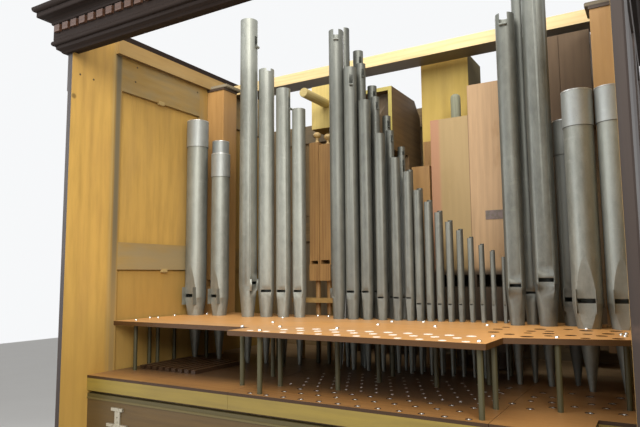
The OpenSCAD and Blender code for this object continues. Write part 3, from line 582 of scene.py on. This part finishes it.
def fitting_tree():
    """Geometry Nodes: one template on every point, turned to its facing and stretched to its size."""
    tree = bpy.data.node_groups.new("Fittings on points", "GeometryNodeTree")
    for name, way, kind in (("Points", "INPUT", "Geometry"), ("Template", "INPUT", "Object"),
                            ("Turn", "INPUT", "Float"), ("Seed", "INPUT", "Int"),
                            ("Material", "INPUT", "Material"), ("Fittings", "OUTPUT", "Geometry")):
        tree.interface.new_socket(name, in_out=way, socket_type="NodeSocket" + kind)
    add = adder(tree)
    given = add("NodeGroupInput")
    points = add("GeometryNodeMeshToPoints", {"Mesh": given["Points"]})
    template = add("GeometryNodeObjectInfo", {"Object": given["Template"]})
    facing, stretch = (add("GeometryNodeInputNamedAttribute", {"Name": name}, data_type="FLOAT_VECTOR")
                       for name in ("facing", "stretch"))
    chance = add("FunctionNodeRandomValue", {"Seed": given["Seed"]}, data_type="FLOAT")
    turn = add("ShaderNodeMath", {0: chance[1], 1: given["Turn"]}, operation="MULTIPLY")
    spin = add("FunctionNodeAxisAngleToRotation", {"Angle": turn[0]})
    aim = add("FunctionNodeAlignRotationToVector", {"Vector": facing["Attribute"]}, axis="Z")
    turned = add("FunctionNodeRotateRotation", {0: aim[0], 1: spin[0]}, rotation_space="LOCAL")
    copies = add("GeometryNodeInstanceOnPoints", {"Points": points[0], "Instance": template["Geometry"],
                                                  "Rotation": turned[0], "Scale": stretch["Attribute"]})
    real = add("GeometryNodeRealizeInstances", {"Geometry": copies[0]})
    coloured = add("GeometryNodeSetMaterial", {"Geometry": real[0], "Material": given["Material"]})
    add("NodeGroupOutput", {"Fittings": coloured[0]})
    return tree


def fittings(name, form, places, material, slot_name, turn=0.0):
    """Like fittings at many places: each place is a point, a facing and a stretch."""
    tree = bpy.data.node_groups.get("Fittings on points") or fitting_tree()
    template = placed(name + "_template", mesh_of(name + "_template", form))
    points = bpy.data.meshes.new(name + "_points")
    points.from_pydata([tuple(place[0]) for place in places], [], [])
    for part, key in ((1, "facing"), (2, "stretch")):
        layer = points.attributes.new(key, "FLOAT_VECTOR", "POINT")
        layer.data.foreach_set("vector", [c for place in places for c in place[part]])
    carrier = placed(name + "_carrier", points)
    modifier = carrier.modifiers.new("Fittings", "NODES")
    modifier.node_group = tree
    keys = {item.name: item.identifier for item in tree.interface.items_tree if item.in_out == "INPUT"}
    for key, value in (("Template", template), ("Turn", turn), ("Material", material),
                       ("Seed", bpy.context.scene.organ_fittings.seed)):
        modifier[keys[key]] = value
    graph = bpy.context.evaluated_depsgraph_get()
    mesh = bpy.data.meshes.new_from_object(carrier.evaluated_get(graph))
    mesh.name = name
    if not mesh.polygons:
        raise RuntimeError(f"{name} came out empty")
    bpy.data.objects.remove(carrier)
    bpy.data.objects.remove(template)
    return show(name, mesh, material, slot_name)


def standing(x, y, z, r, height):
    """A place for a fitting that stands upright, with its radius and height, in millimetres."""
    return at(x, y, z), UP, (r / 1000, r / 1000, height / 1000)


def finish_nodes(names, material):
    """Gives CAD nodes, named in one string, their finish."""
    for name in names.split():
        for place in frame["nodes"][name].material_slots:
            place.material = material


def finish_of(name):
    return frame["nodes"][name].material_slots[0].material


def timber(names, *looks, **more):
    """Gives CAD nodes, named in one string, a wood of their own."""
    finish_nodes(names, wood(*looks, **more))


# Operators

class CaseFinish(bpy.types.Operator):
    """Bare pine inside and dark stain outside for the case, and its cornice"""
    bl_idname = "organ.case_finish"
    bl_label = "Finish Case"

    def execute(self, context):
        pine, stain = context.scene.organ_colours.pine, context.scene.organ_colours.stain
        stiles = [(-0.3405, -0.3105), (0.0745, 0.1895), (0.5165, 0.6)]
        painted_stile_shade = (0.13, 0.12, 0.085)
        # Painted shade on the post: grey-brown where it meets the frame, and darker from 0.2 to 1.5 m up
        timber("post_left post_right", "post_wood", "Z", pine, tone(pine, 0.68), (-0.9, -0.62), 0.03,
               patch=(0.42, 0.24, 0.08), patch_share=0.4, stain=stain, stain_from=0.7532, spots=6,
               bands=(("y", -0.346, -0.33, 0.012, (0.3, 0.25, 0.13), 0.7),
                      ("z", 0.2, 1.5, 0.2, (0.34, 0.2, 0.045), 0.6)))
        # Painted shade: the frame's first band darkens the stile beside the post to a grey-brown
        timber("side_frame_left side_frame_right", "frame_wood", "Y", tone(pine, 0.62), tone(pine, 0.4),
               (1.9, -0.4), 0.022, patch=(0.25, 0.24, 0.17), patch_share=0.75, stain=stain,
               stain_from=0.7666, spots=7, cross=("y", stiles), rough=0.6, ringed=0.18,
               bands=(("y", -0.335, -0.3145, 0.006, painted_stile_shade, 0.85),
                      ("z", 0.6, 1.72, 0.18, tone(pine, 0.75), 0.45)))
        # Painted shade: the panels darker from 0.6 to 1.78 m up
        timber("side_panels_left side_panels_right", "panel_wood", "Z", tone(pine, 0.86), tone(pine, 0.58),
               (-0.6, 0.2), 0.05, wander=0.03, patch=(0.36, 0.23, 0.08), patch_share=0.55, stain=stain,
               stain_from=0.765, rough=0.6, knots=1.6, ringed=0.14,
               bands=(("z", 0.6, 1.78, 0.06, tone(pine, 0.5), 0.5),))
        # Painted shade: the rails and rear racks darker on their undersides
        timber("top_rails rear_racks", "rail_wood", "Y", (0.4, 0.26, 0.09), (0.28, 0.17, 0.055), (2.3, 0.2),
               0.014, patch=(0.36, 0.27, 0.14), spots=5, under=(0.16, 0.1, 0.04))
        timber("front_top_rail cornice plinth", "dark_case_wood", "X", centre=(0.1, 1.1),
               stain=tone(stain, 0.7), rough=0.7, dust=0.12, gloss=0.15)
        fronts = [(-0.753, -0.673), (-0.2777, -0.1977), (0.1977, 0.2777), (0.673, 0.753)]
        timber("lower_front_frame", "dark_frame_wood", "X", centre=(0.2, 0.3), stain=stain,
               cross=("x", fronts))
        timber("lower_front_panels", "dark_panel_wood", "Z", centre=(0.4, 0.9), spacing=0.02,
               stain=tone(stain, 1.5), rough=0.48)
        timber("dentils", "dentil_wood", "X", centre=(0.1, 1.1), stain=(0.09, 0.042, 0.024))
        timber("back_frame", "back_frame_wood", "X", (0.3, 0.21, 0.1), (0.17, 0.11, 0.05), (0.2, 0.3),
               patch=(0.2, 0.18, 0.14), cross=("x", fronts), rough=0.7)
        timber("back_panels", "back_wood", "Z", (0.28, 0.2, 0.1), (0.15, 0.1, 0.05), (0.5, 1.4), 0.022,
               patch=(0.18, 0.16, 0.13), rough=0.72, knots=2.6)
        # Painted shade: the beam dark on its underside
        timber("back_beam", "beam_wood", "X", (0.78, 0.62, 0.33), (0.62, 0.44, 0.2), (0.4, 2.3), 0.012,
               under=(0.07, 0.055, 0.032))
        return {"FINISHED"}


class ChestFinish(bpy.types.Operator):
    """Waxed boards, chest and front boards"""
    bl_idname = "organ.chest_finish"
    bl_label = "Finish Chest"

    def execute(self, context):
        wax = context.scene.organ_colours.wax
        olive = (0.05, 0.04, 0.014)
        timber("wind_chest rear_board", "chest_wood", "X", (0.3, 0.2, 0.1), (0.16, 0.1, 0.05), (0.1, 1.2),
               rough=0.6)
        timber("front_boards", "front_board_wood", "X", (0.25, 0.18, 0.032), (0.16, 0.115, 0.025),
               (-0.3, 1.6), 0.02, patch=(0.17, 0.12, 0.035), patch_share=0.5, ringed=0.2,
               bands=(("z", 1.3155, 1.3265, 0.0003, olive, 0.9),
                      ("z", 1.3095, 1.3155, 0.0003, (0.09, 0.07, 0.026), 0.9)))
        timber("bung_board", "bung_wood", "X", (0.1, 0.058, 0.016), (0.06, 0.035, 0.011), (-0.3, 1.1), 0.02,
               patch=(0.075, 0.05, 0.02), rough=0.55, ringed=0.2)
        timber("chest_table", "table_wood", "X", tone(wax, 0.3), tone(wax, 0.2), (0.2, 1.1))
        # Painted shade and light: the first band darkens the middle of the toe boards as the rackboard's
        # shadow, the second brings their lit right end back to bare wood; the edge colour gives dark board
        # edges and painted shade in the holes
        timber("toe_boards", "toe_wood", "X", tone(wax, 0.5), tone(wax, 0.3), (0.1, 1.14), 0.02,
               patch=(0.17, 0.085, 0.035), rough=0.42, edge=(0.035, 0.018, 0.009), coat=0.08, gloss=0.25,
               bands=(("y", -0.3, 0.3, 0.07, (0.045, 0.03, 0.019), 0.8),
                      ("x", 0.45, 0.8, 0.07, tone(wax, 0.5), 0.6)))
        # Painted light: the rackboard paler towards its right end; the edge colour gives dark board edges
        # and painted shade in the holes
        timber("rack_board", "rack_wood", "X", wax, tone(wax, 0.68), (0.3, 1.2), 0.018,
               patch=(0.46, 0.27, 0.13), rough=0.45, edge=(0.05, 0.02, 0.004), coat=0.06, gloss=0.3,
               bands=(("x", 0.42, 0.8, 0.06, tone(wax, 1.05), 0.7),))
        timber("rack_pillars", "pillar_wood", "Z", (0.062, 0.056, 0.024), (0.034, 0.031, 0.014), (0.5, 0.5),
               0.004)
        metal = plain("catch_metal", 130, 4, (0.5, 0.47, 0.38), (0.24, 0.2, 0.13), 0.35, 0.2, (0.5, 0.7),
                      (0.3, 0.0006), Metallic=0.85)
        finish_nodes("turn_buttons", metal)
        return {"FINISHED"}


class MetalFinish(bpy.types.Operator):
    """Planed metal of the pipes and of their sliding caps"""
    bl_idname = "organ.metal_finish"
    bl_label = "Finish Metal Pipes"

    def execute(self, context):
        metal, cap = context.scene.organ_colours.metal, context.scene.organ_colours.cap
        # Lit and shaded copies of one pipe metal: paler for the tall left and stopped pipes, a painted
        # light, and darker for the rear rows, a painted shade
        for names, *looks in (
                ("tall_pipes_left stopped_pipes", "pipe_metal_wide", metal, 1.35, 0.8),
                ("tall_pipes_right tenor_pipes_front treble_pipes_front", "pipe_metal", metal, 0.82, 0.46),
                ("tenor_pipes_middle treble_pipes_middle tenor_pipes_back", "pipe_metal_rear", metal,
                 0.68, 0.36, 0.48),
                ("stopped_caps", "cap_metal", cap, 1, 0.7)):
            finish_nodes(names, pipe_metal(*looks))
        return {"FINISHED"}


class WoodenPipeFinish(bpy.types.Operator):
    """Varnished, yellow, brown and painted wood of the square pipes"""
    bl_idname = "organ.wooden_pipe_finish"
    bl_label = "Finish Wooden Pipes"

    def execute(self, context):
        timber("corner_pipes", "corner_wood", "Z", (0.5, 0.29, 0.105), (0.36, 0.19, 0.06), (-1, 0.3),
               0.02, patch=(0.42, 0.24, 0.09), rough=0.45, coat=0.08, ringed=0.15)
        timber("corner_caps", "cap_wood", "X", centre=(0.3, 1.1), stain=(0.07, 0.045, 0.03))
        # Painted shade: the darker sides of the yellow pipe and of the left box
        timber("yellow_wood_pipe", "yellow_pipe_wood", "Z", (0.64, 0.47, 0.14), (0.48, 0.33, 0.09),
               (0.4, 0.8), 0.024, patch=(0.45, 0.33, 0.13), rough=0.75, ringed=0.2, gloss=0.08,
               side=(0.1, 0.085, 0.05))
        timber("mitred_pipe_left", "left_box_wood", "Z", (0.46, 0.33, 0.08), (0.33, 0.22, 0.06), (0.4, 0.8),
               0.024, patch=(0.34, 0.23, 0.08), rough=0.55, ringed=0.2, side=(0.11, 0.06, 0.028))
        joint = (("y", 0.26, 0.2674, 0.0003, (0.5, 0.42, 0.12), 0.95),)
        for node, name, bands in (("mitred_pipe_right", "brown_pipe_wood", ()),
                                  ("mitred_pipe_middle", "middle_box_wood", joint)):
            timber(node, name, "Y", (0.2, 0.125, 0.055), (0.11, 0.065, 0.03), (1.4, 0.3), 0.02,
                   patch=(0.13, 0.09, 0.055), rough=0.55, ringed=0.2, bands=bands)
        timber("small_wood_pipes", "small_pipe_wood", "Z", (0.44, 0.26, 0.1), (0.25, 0.13, 0.05), (0.1, 0.4),
               0.01, patch=(0.24, 0.14, 0.07), rough=0.42)
        timber("small_stoppers", "handle_wood", "Z", (0.6, 0.44, 0.2), (0.4, 0.26, 0.1), (0.3, 0.3), 0.006,
               rough=0.45)
        timber("mitred_stoppers", "stopper_wood", "Z", (0.17, 0.12, 0.07), (0.1, 0.065, 0.035), (0.3, 0.3),
               0.008)
        paint = context.scene.organ_colours.paint
        f = Finish("painted_pipe_wood")
        rings, fibres, *_ = grain(f, "Z", (0.9, 0.4), 0.02, 0.02)
        brush = f.noise(f.vector(f.x, f.y, f.z * 0.06), 95, 3, 0.6)
        thin = f.noise(f.vector(f.x, f.y, f.z * 0.4), 12, 5, 0.65)
        colour = f.mix(brush.between(0.35, 0.65) * 0.5, paint, tone(paint, 0.78))
        colour = f.mix(thin.between(0.58, 0.7) * 0.6, colour, (0.4, 0.24, 0.11))
        colour = f.mix(rings * 0.15, colour, tone(paint, 0.6))
        # The last band is painted shade: the pipes darker from their feet up to 1.695 m
        colour = f.banded(colour, (("x", 0.1, at(1029.5, 0).x, 0.001, (0.38, 0.28, 0.12), 0.7),
                                   ("x", 0.1, at(930, 0).x, 0.006, (0.46, 0.21, 0.13), 0.7),
                                   ("x", at(1028.3, 0).x, at(1030.9, 0).x, 0.0008, (0.14, 0.06, 0.03), 0.7),
                                   ("z", 1.2, 1.695, 0.012, (0.035, 0.027, 0.022), 0.88)))
        finish_nodes("painted_wood_pipes", f.done(colour, 0.6 + (brush - 0.5) * 0.2,
                                                  (brush * 0.7 + fibres * 0.3, 0.3, 0.0008)))
        return {"FINISHED"}


class RackPins(bpy.types.Operator):
    """Bright domed pins on the rackboard, one over each pillar and a few beside them"""
    bl_idname = "organ.rack_pins"
    bl_label = "Add Rack Pins"

    def execute(self, context):
        r = context.scene.organ_fittings.pin_radius
        metal = plain("pin_metal", 400, 2, (0.86, 0.86, 0.84), (0.6, 0.6, 0.58), 0.18, 0.15, (0.4, 0.7),
                      Metallic=0.9)
        pin = lathe([(0, -0.001), (r * 0.5, -0.001), (r, 0.0003), (r, r * 0.35), (r * 0.85, r * 0.75),
                     (r * 0.5, r * 0.95), (0, r)])
        fittings("rack_pins", pin, [(at(x, y, RACK_TOP), UP, ONE) for x, y in PILLARS + LOOSE_PINS], metal,
                 "catch_metal", turn=6.28)
        return {"FINISHED"}


class HoleGlintsAndLitSleeves(bpy.types.Operator):
    """Small bright rims in the empty toe holes, painted glints on their countersinks, and pale sleeves in
    the empty rack holes of the front rows, painted light on their far walls
    """
    bl_idname = "organ.toe_eyelets"
    bl_label = "Add Hole Glints and Lit Sleeves"

    def execute(self, context):
        wall = context.scene.organ_fittings.glint_rim_wall * 1000
        tall, low, sunk, proud, lit_sleeve_up, lit_sleeve_less = wall * 3, wall * 2, -1.8, 0.1, 1, 0.4
        rims, lit_sleeves = [], []
        for y, toe, rack, first, number in EMPTY_ROWS:
            for x in (first + EMPTY_PITCH * i for i in range(number)):
                rims.append(standing(x, y, sunk, toe, tall))
                lit_sleeves.append(standing(x, y, RACK_Z + lit_sleeve_up, rack, RACK_T - lit_sleeve_less))
        rims += [standing(INNER_W - right, y, sunk, toe, tall) for right, y, toe, _ in RIGHT_HOLES]
        rims += [standing(first + SMALL_PITCH * i, y, proud, SMALL_R, low) for y, first in SMALL_ROWS
                 for i in range(SMALL_N)]
        # Painted highlight: bright metal rims in the toe holes as glints on their countersinks
        metal = plain("glint_rim_metal", 300, 2, (0.72, 0.72, 0.7), (0.35, 0.35, 0.34), 0.25, 0.2,
                      Metallic=0.85)
        fittings("toe_eyelets", rim_form(0.2), rims, metal, "catch_metal")
        # Painted light: near-white sleeves in the rack holes as their lit far walls
        lit_felt = plain("lit_sleeve_finish", 420, 4, (0.95, 0.92, 0.86), (0.75, 0.7, 0.62), 0.85, 0.1,
                     relief=(0.4, 0.0005))
        fittings("rack_linings", sleeve(1.28, 0.8), lit_sleeves, lit_felt, "pillar_wood")
        return {"FINISHED"}


class OpenTops(bpy.types.Operator):
    """Pipes of the long ranks with their tuning slots open to the top and curled"""
    bl_idname = "organ.open_tops"
    bl_label = "Open Tuning Slots"

    def execute(self, context):
        for node in dict.fromkeys(row[0] for row in OPEN_TOPS):
            def build(shape):
                copy_of(shape, node)
                for owner, *sizes in OPEN_TOPS:
                    if owner == node:
                        open_top(shape, *sizes)
            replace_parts(show(node + "_slotted", build, finish_of(node), "pipe_metal"), node)
        return {"FINISHED"}


class CapFittings(bpy.types.Operator):
    """A dark sleeve under each sliding cap, drawn as leather packing and put there as the cap's painted
    shadow, and the turned rim of the cap in a paler metal than the cap, a painted highlight
    """
    bl_idname = "organ.cap_fittings"
    bl_label = "Add Cap Fittings"

    def execute(self, context):
        stopped = [(p["x"], p["y"], p["r"], p["foot"] + p["long"]) for p in metal_pipes()[-5:]]
        x, y, r, top = next(s for s in stopped if s[:2] == HIDDEN_FROM)
        stopped.append((*HIDDEN_AT, r * HIDDEN_SHARE, top - HIDDEN_DROP))
        # Of the dark sleeve, the cap's painted shadow, and of the rim: how far each stands out from the
        # pipe, its height, and where it begins
        shadow_out, shadow_tall, shadow_low = 1.3, 3.4, -2.6
        rim_out, rim_tall, rim_low = 2.1, 2.1, 0.6
        shadow_sleeves, rims = [], []
        for x, y, r, top in stopped:
            low = top - 2 * r * CAP_SHARE * (1 if (x, y) != HIDDEN_AT else 1 / HIDDEN_SHARE)
            shadow_sleeves.append(standing(x, y, low + shadow_low, r + shadow_out, shadow_tall))
            rims.append(standing(x, y, top + rim_low, r + rim_out, rim_tall))
        # Painted shadow: near-black sleeves that show under the caps
        shadow_dark = plain("cap_shadow_dark", 700, 3, (0.02, 0.016, 0.013), (0.06, 0.045, 0.035), 0.75, 0.2,
                        relief=(0.4, 0.0004))
        fittings("cap_packing", sleeve(1, 0.95, 48), shadow_sleeves, shadow_dark, "cap_metal")
        # Painted highlight: the caps' rims in a paler metal than the caps
        bright = plain("cap_rim_highlight_metal", 60, 3, (0.85, 0.86, 0.84), (0.5, 0.5, 0.48), 0.3, 0.2, (0.4, 0.6),
                       Metallic=0.6)
        fittings("cap_rims", sleeve(1, 0.94, 48), rims, bright, "cap_metal")
        return {"FINISHED"}


class HiddenPipe(bpy.types.Operator):
    """A third stopped pipe at the right end, which stands half hidden behind the other two: its like
    from the front row, moved, narrowed and shortened"""
    bl_idname = "organ.hidden_pipe"
    bl_label = "Add Hidden Pipe"

    def execute(self, context):
        # Painted shade: a darker, less shiny copy of the pipe metal for the half hidden pipe and its cap
        dull = pipe_metal("pipe_metal_shaded", context.scene.organ_colours.metal, 0.5, 0.3, 0.6, 0.1)
        old, new = at(*HIDDEN_FROM), at(*HIDDEN_AT)
        reach, above_mouth = 41, 0.4
        for node, slot_name in (("stopped_pipes", "pipe_metal"), ("stopped_caps", "cap_metal")):
            def build(shape):
                copy_of(shape, node)
                keep = pipe_round(shape, *HIDDEN_FROM, reach)
                keep_only(shape, lambda v: v in keep)
                for v in shape.verts:
                    v.co.xy = new.xy + (v.co.xy - old.xy) * HIDDEN_SHARE
                    if v.co.z > old.z + above_mouth:
                        v.co.z -= HIDDEN_DROP / 1000
            show(node + "_hidden", build, dull, slot_name)
        return {"FINISHED"}


class BoxFittings(bpy.types.Operator):
    """Covers of the outer mitred pipes and the left one's handle, the stopper of the middle one and of a
    painted pipe, slabs on the corner pipes, blocks and pegs at the walls, and a bare plate"""
    bl_idname = "organ.box_fittings"
    bl_label = "Add Box Fittings"

    def execute(self, context):
        left_end, right_end = at(553, 0).x, at(1200, 0).x

        def middle_one(shape):
            shape.from_mesh(frame["nodes"]["mitred_stoppers"].data)
            keep_only(shape, lambda v: left_end < v.co.x < right_end)
        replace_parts(show("mitred_stoppers_kept", middle_one, finish_of("mitred_stoppers"), "handle_wood"),
                    "mitred_stoppers")
        # Finishes, each paired with a slot name
        yellow = wood("front_cover_wood", "Z", (0.82, 0.66, 0.24), (0.62, 0.46, 0.15), (0.1, 0.5), 0.016,
                      patch=(0.58, 0.46, 0.17), ringed=0.25), "yellow_pipe_wood"
        brown = wood("right_cover_wood", "Z", (0.17, 0.115, 0.07), (0.1, 0.068, 0.045), (0.5, 0.3), 0.02,
                     patch=(0.13, 0.09, 0.055), rough=0.6, ringed=0.2, gloss=0.2), "brown_pipe_wood"
        grey = wood("dowel_wood", "Z", (0.3, 0.31, 0.22), (0.18, 0.18, 0.13), (0.2, 0.3), 0.006, rough=0.6,
                    gloss=0.2), "handle_wood"
        slab = wood("slab_wood", "X", (0.3, 0.26, 0.18), (0.17, 0.14, 0.1), (0.2, 1.9), 0.01,
                    patch=(0.1, 0.075, 0.05), patch_share=0.8, rough=0.75, spots=30, dust=0.5), "cap_wood"
        pine = wood("block_wood", "Y", (0.5, 0.38, 0.16), (0.34, 0.24, 0.1), (0.1, 0.5), 0.008,
                    rough=0.6), "rail_wood"
        f = Finish("plate_card")
        worn = f.noise(f.coordinates, 90, 4)
        lines = f.noise(f.vector(f.x * 0.2, f.y, f.z), 240, 2)
        card = f.done(f.mix(worn.between(0.35, 0.65), (0.15, 0.125, 0.1), (0.21, 0.16, 0.15)),
                      0.6 + lines * 0.2, (lines, 0.3, 0.0004)), "painted_pipe_wood"
        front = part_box("corner_caps")[0][1] * 1000 + MID_Y

        def blocks(rows, smooth=False):
            """Blocks from their name, two corners, softening of the edges and finish."""
            for name, low, high, soft, finish in rows:
                show(name, block(low, high, soft), *finish, smooth)

        blocks((("left_box_front", (402.3, 688, 868.5), (547.7, 691, 1039.7), 0.8, yellow),
                ("right_box_front_1", (1268.3, 687.4, 765.3), (1314.2, 690.6, 1049.7), 0.6, brown),
                ("right_box_front_2", (1315, 687.4, 765.3), (1403.7, 690.6, 1049.7), 0.6, brown),
                ("painted_stopper", (910.4, 664.9, 780), (1017.6, 767.1, 816), 1, grey)))
        dowel = lathe([(0, 0), (0.017, 0), (0.017, 0.094), (0.0152, 0.1015), (0.01, 0.1065),
                       (0, 0.1085)], 32)
        fittings("painted_stopper_dowel", dowel, [(at(971, 716, 815), UP, ONE)], *grey)
        grip = lathe([(0, 0), (0.0135, 0), (0.017, 0.004), (0.018, 0.02), (0.0175, 0.166),
                      (0.016, 0.1695), (0, 0.17)], 32)
        fittings("left_box_handle", grip, [(at(470, 689, 963), FRONTWARD, ONE)],
                 wood("grip_wood", "Y", (0.66, 0.55, 0.24), (0.45, 0.34, 0.13), (1.663, -0.283), 0.006,
                      rough=0.45, patch=(0.25, 0.17, 0.08), patch_share=0.4), "handle_wood")
        slabs = [(f"corner_slab_{side}", (x, front + 3, 1054.8), (x + 95, front + 96, 1068), 2, slab)
                 for side, x in (("left", 3), ("right", INNER_W - 98))]
        blocks((*slabs, ("gap_block_upper", (-9, 270, 930), (1.2, 300, 945), 1.5, pine),
                ("gap_block_lower", (-9, 300, 316), (1.2, 330, 331), 1.5, pine)), smooth=True)
        disc = lathe([(0, -0.5), (0.94, -0.5), (1, -0.1), (1, 0.12), (0.9, 0.2), (0, 0.2)], 16)
        shown_share, proud = 0.62, 0.0035
        r = context.scene.organ_fittings.peg_radius * shown_share
        both_walls = ((166.8, 1036.6), (159.9, 982.9), (473.6, 1030.7))
        left_wall = both_walls + ((-63.6, 943.1), (-13, 940.8))
        pegs = [(at(x, y, z), (way, 0, 0), (r, r, proud))
                for x, way, spots in ((0, 1, left_wall), (INNER_W, -1, both_walls)) for y, z in spots]
        fittings("frame_pegs", disc, pegs, wood("peg_wood", "Z", (0.11, 0.075, 0.035), (0.06, 0.04, 0.02),
                                                (0.3, 0.1), 0.003, rough=0.6), "rail_wood")
        blocks((("plate", (1076.4, 649.8, 474.4), (1133.8, 651.2, 503.6), 0.4, card),))
        return {"FINISHED"}


class PipeSeams(bpy.types.Operator):
    """Soldered seams down the back of every metal pipe, on foot and body"""
    bl_idname = "organ.pipe_seams"
    bl_label = "Add Pipe Seams"

    def execute(self, context):
        r = context.scene.organ_fittings.seam_radius
        tip_share, tip_up, overlap, below_top = 0.35, 12, 2, 18
        places = []
        for p in metal_pipes():
            back = Vector((-sin(p["turn"]), cos(p["turn"]), 0)) * p["r"] / 1000
            low = at(p["x"], p["y"], tip_up) + back * tip_share
            joint = at(p["x"], p["y"], p["foot"] - overlap) + back
            slope = joint - low
            places += [(joint, UP, (r, r, (p["long"] - below_top) / 1000)),
                       (low, slope.normalized(), (r, r, slope.length))]
        metal = plain("seam_metal", 260, 3, (0.3, 0.31, 0.32), (0.5, 0.5, 0.5), 0.4, 0.2,
                      relief=(0.5, 0.0006), run=0.3, Metallic=0.8)
        fittings("pipe_seams", lathe([(1, 0), (1, 1)], 8), places, metal, "pipe_metal")
        return {"FINISHED"}


class Stage(bpy.types.Operator):
    """Pale floor, soft lights, background and the camera"""
    bl_idname = "organ.stage"
    bl_label = "Set Stage"

    def execute(self, context):
        settings = context.scene.organ_stage
        scene = context.scene
        scene.view_settings.view_transform = "Standard"
        floor = placed("stage_floor", mesh_of(
            "stage_floor", lambda s: bmesh.ops.create_grid(s, x_segments=1, y_segments=1, size=14)))
        pale = plain("floor_finish", 1.3, 3, (0.74, 0.735, 0.72), (0.8, 0.8, 0.79), 0.65, 0.1)
        floor.data.materials.append(pale)

        world = bpy.data.worlds.new("Studio")
        world.use_nodes = True
        world.node_tree.nodes.clear()
        add = adder(world.node_tree)
        path = add("ShaderNodeLightPath")
        shine = add("ShaderNodeMath", {0: path["Is Glossy Ray"], 1: path["Is Transmission Ray"]},
                    operation="MAXIMUM")
        seen = add("ShaderNodeMath", {0: path["Is Camera Ray"], 1: shine[0]}, operation="MAXIMUM")
        room = add("ShaderNodeBackground", {"Color": (1, 0.98, 0.95), "Strength": settings.room_light})
        backdrop = add("ShaderNodeBackground", {"Color": (0.93, 0.94, 0.95), "Strength": 1})
        both = add("ShaderNodeMixShader", {0: seen[0], 1: room[0], 2: backdrop[0]})
        add("ShaderNodeOutputWorld", {"Surface": both[0]})
        scene.world = world

        for name, place, aim, size, energy, colour in (
                ("key", (2.3, -3.5, 3.7), (-0.1, 0.1, 1.7), 2.2, settings.key_power, (1, 0.96, 0.9)),
                ("top", (-0.15, -1.1, 4.1), (0, 0, 1.8), 1.4, settings.top_power, (1, 0.96, 0.9)),
                ("fill", (-3, -2.8, 2.6), (0, 0, 1.7), 2.4, settings.fill_power, (0.93, 0.96, 1)),
                ("rear", (-2.2, 3.6, 3.2), (0, 0, 1.4), 2.6, settings.fill_power * 1.2, (1, 1, 1))):
            lamp = bpy.data.lights.new(name, "AREA")
            lamp.size, lamp.energy, lamp.color = size, energy, colour
            light = placed(name + "_light", lamp)
            light.location = place
            light.rotation_euler = (Vector(aim) - Vector(place)).to_track_quat("-Z", "Y").to_euler()

        lens = bpy.data.cameras.new("camera")
        lens.sensor_width, lens.lens, lens.clip_start = 36, 32.58, 0.05
        camera = placed("camera", lens)
        turn = Matrix(((0.85969, 0.06132, 0.50711), (0.51074, -0.08677, -0.85535),
                       (-0.00845, 0.99434, -0.10592)))
        camera.matrix_world = Matrix.Translation((0.8096, -1.6249, 1.6816)) @ turn.to_4x4()
        scene.camera = camera
        return {"FINISHED"}


class OrganPanel(bpy.types.Panel):
    """Pieces, sizes and colours of the organ"""
    bl_idname = "VIEW3D_PT_organ"
    bl_label = "Chamber Pipe Organ"
    bl_space_type = "VIEW_3D"
    bl_region_type = "UI"
    bl_category = "Organ"

    def draw(self, context):
        for operator in OPERATORS:
            self.layout.operator(operator.bl_idname)
        for name, group in GROUPS:
            box = self.layout.box()
            for key in group.__annotations__:
                box.prop(getattr(context.scene, name), key)


GROUPS = (("organ_fittings", OrganFittings), ("organ_colours", OrganColours), ("organ_stage", OrganStage))
OPERATORS = (CaseFinish, ChestFinish, MetalFinish, WoodenPipeFinish, RackPins, HoleGlintsAndLitSleeves,
             OpenTops, HiddenPipe, CapFittings, BoxFittings, PipeSeams, Stage)


def register():
    for name, group in GROUPS:
        bpy.utils.register_class(group)
        setattr(bpy.types.Scene, name, PointerProperty(type=group))
    for item in (*OPERATORS, OrganPanel):
        bpy.utils.register_class(item)


def unregister():
    for item in reversed((*OPERATORS, OrganPanel)):
        bpy.utils.unregister_class(item)
    for name, group in reversed(GROUPS):
        delattr(bpy.types.Scene, name)
        bpy.utils.unregister_class(group)


def main():
    bpy.data.batch_remove([*bpy.data.lights, *bpy.data.cameras])
    register()
    for operator in OPERATORS:
        section, name = operator.bl_idname.split(".")
        getattr(getattr(bpy.ops, section), name)()


if __name__ == "__main__":
    main()
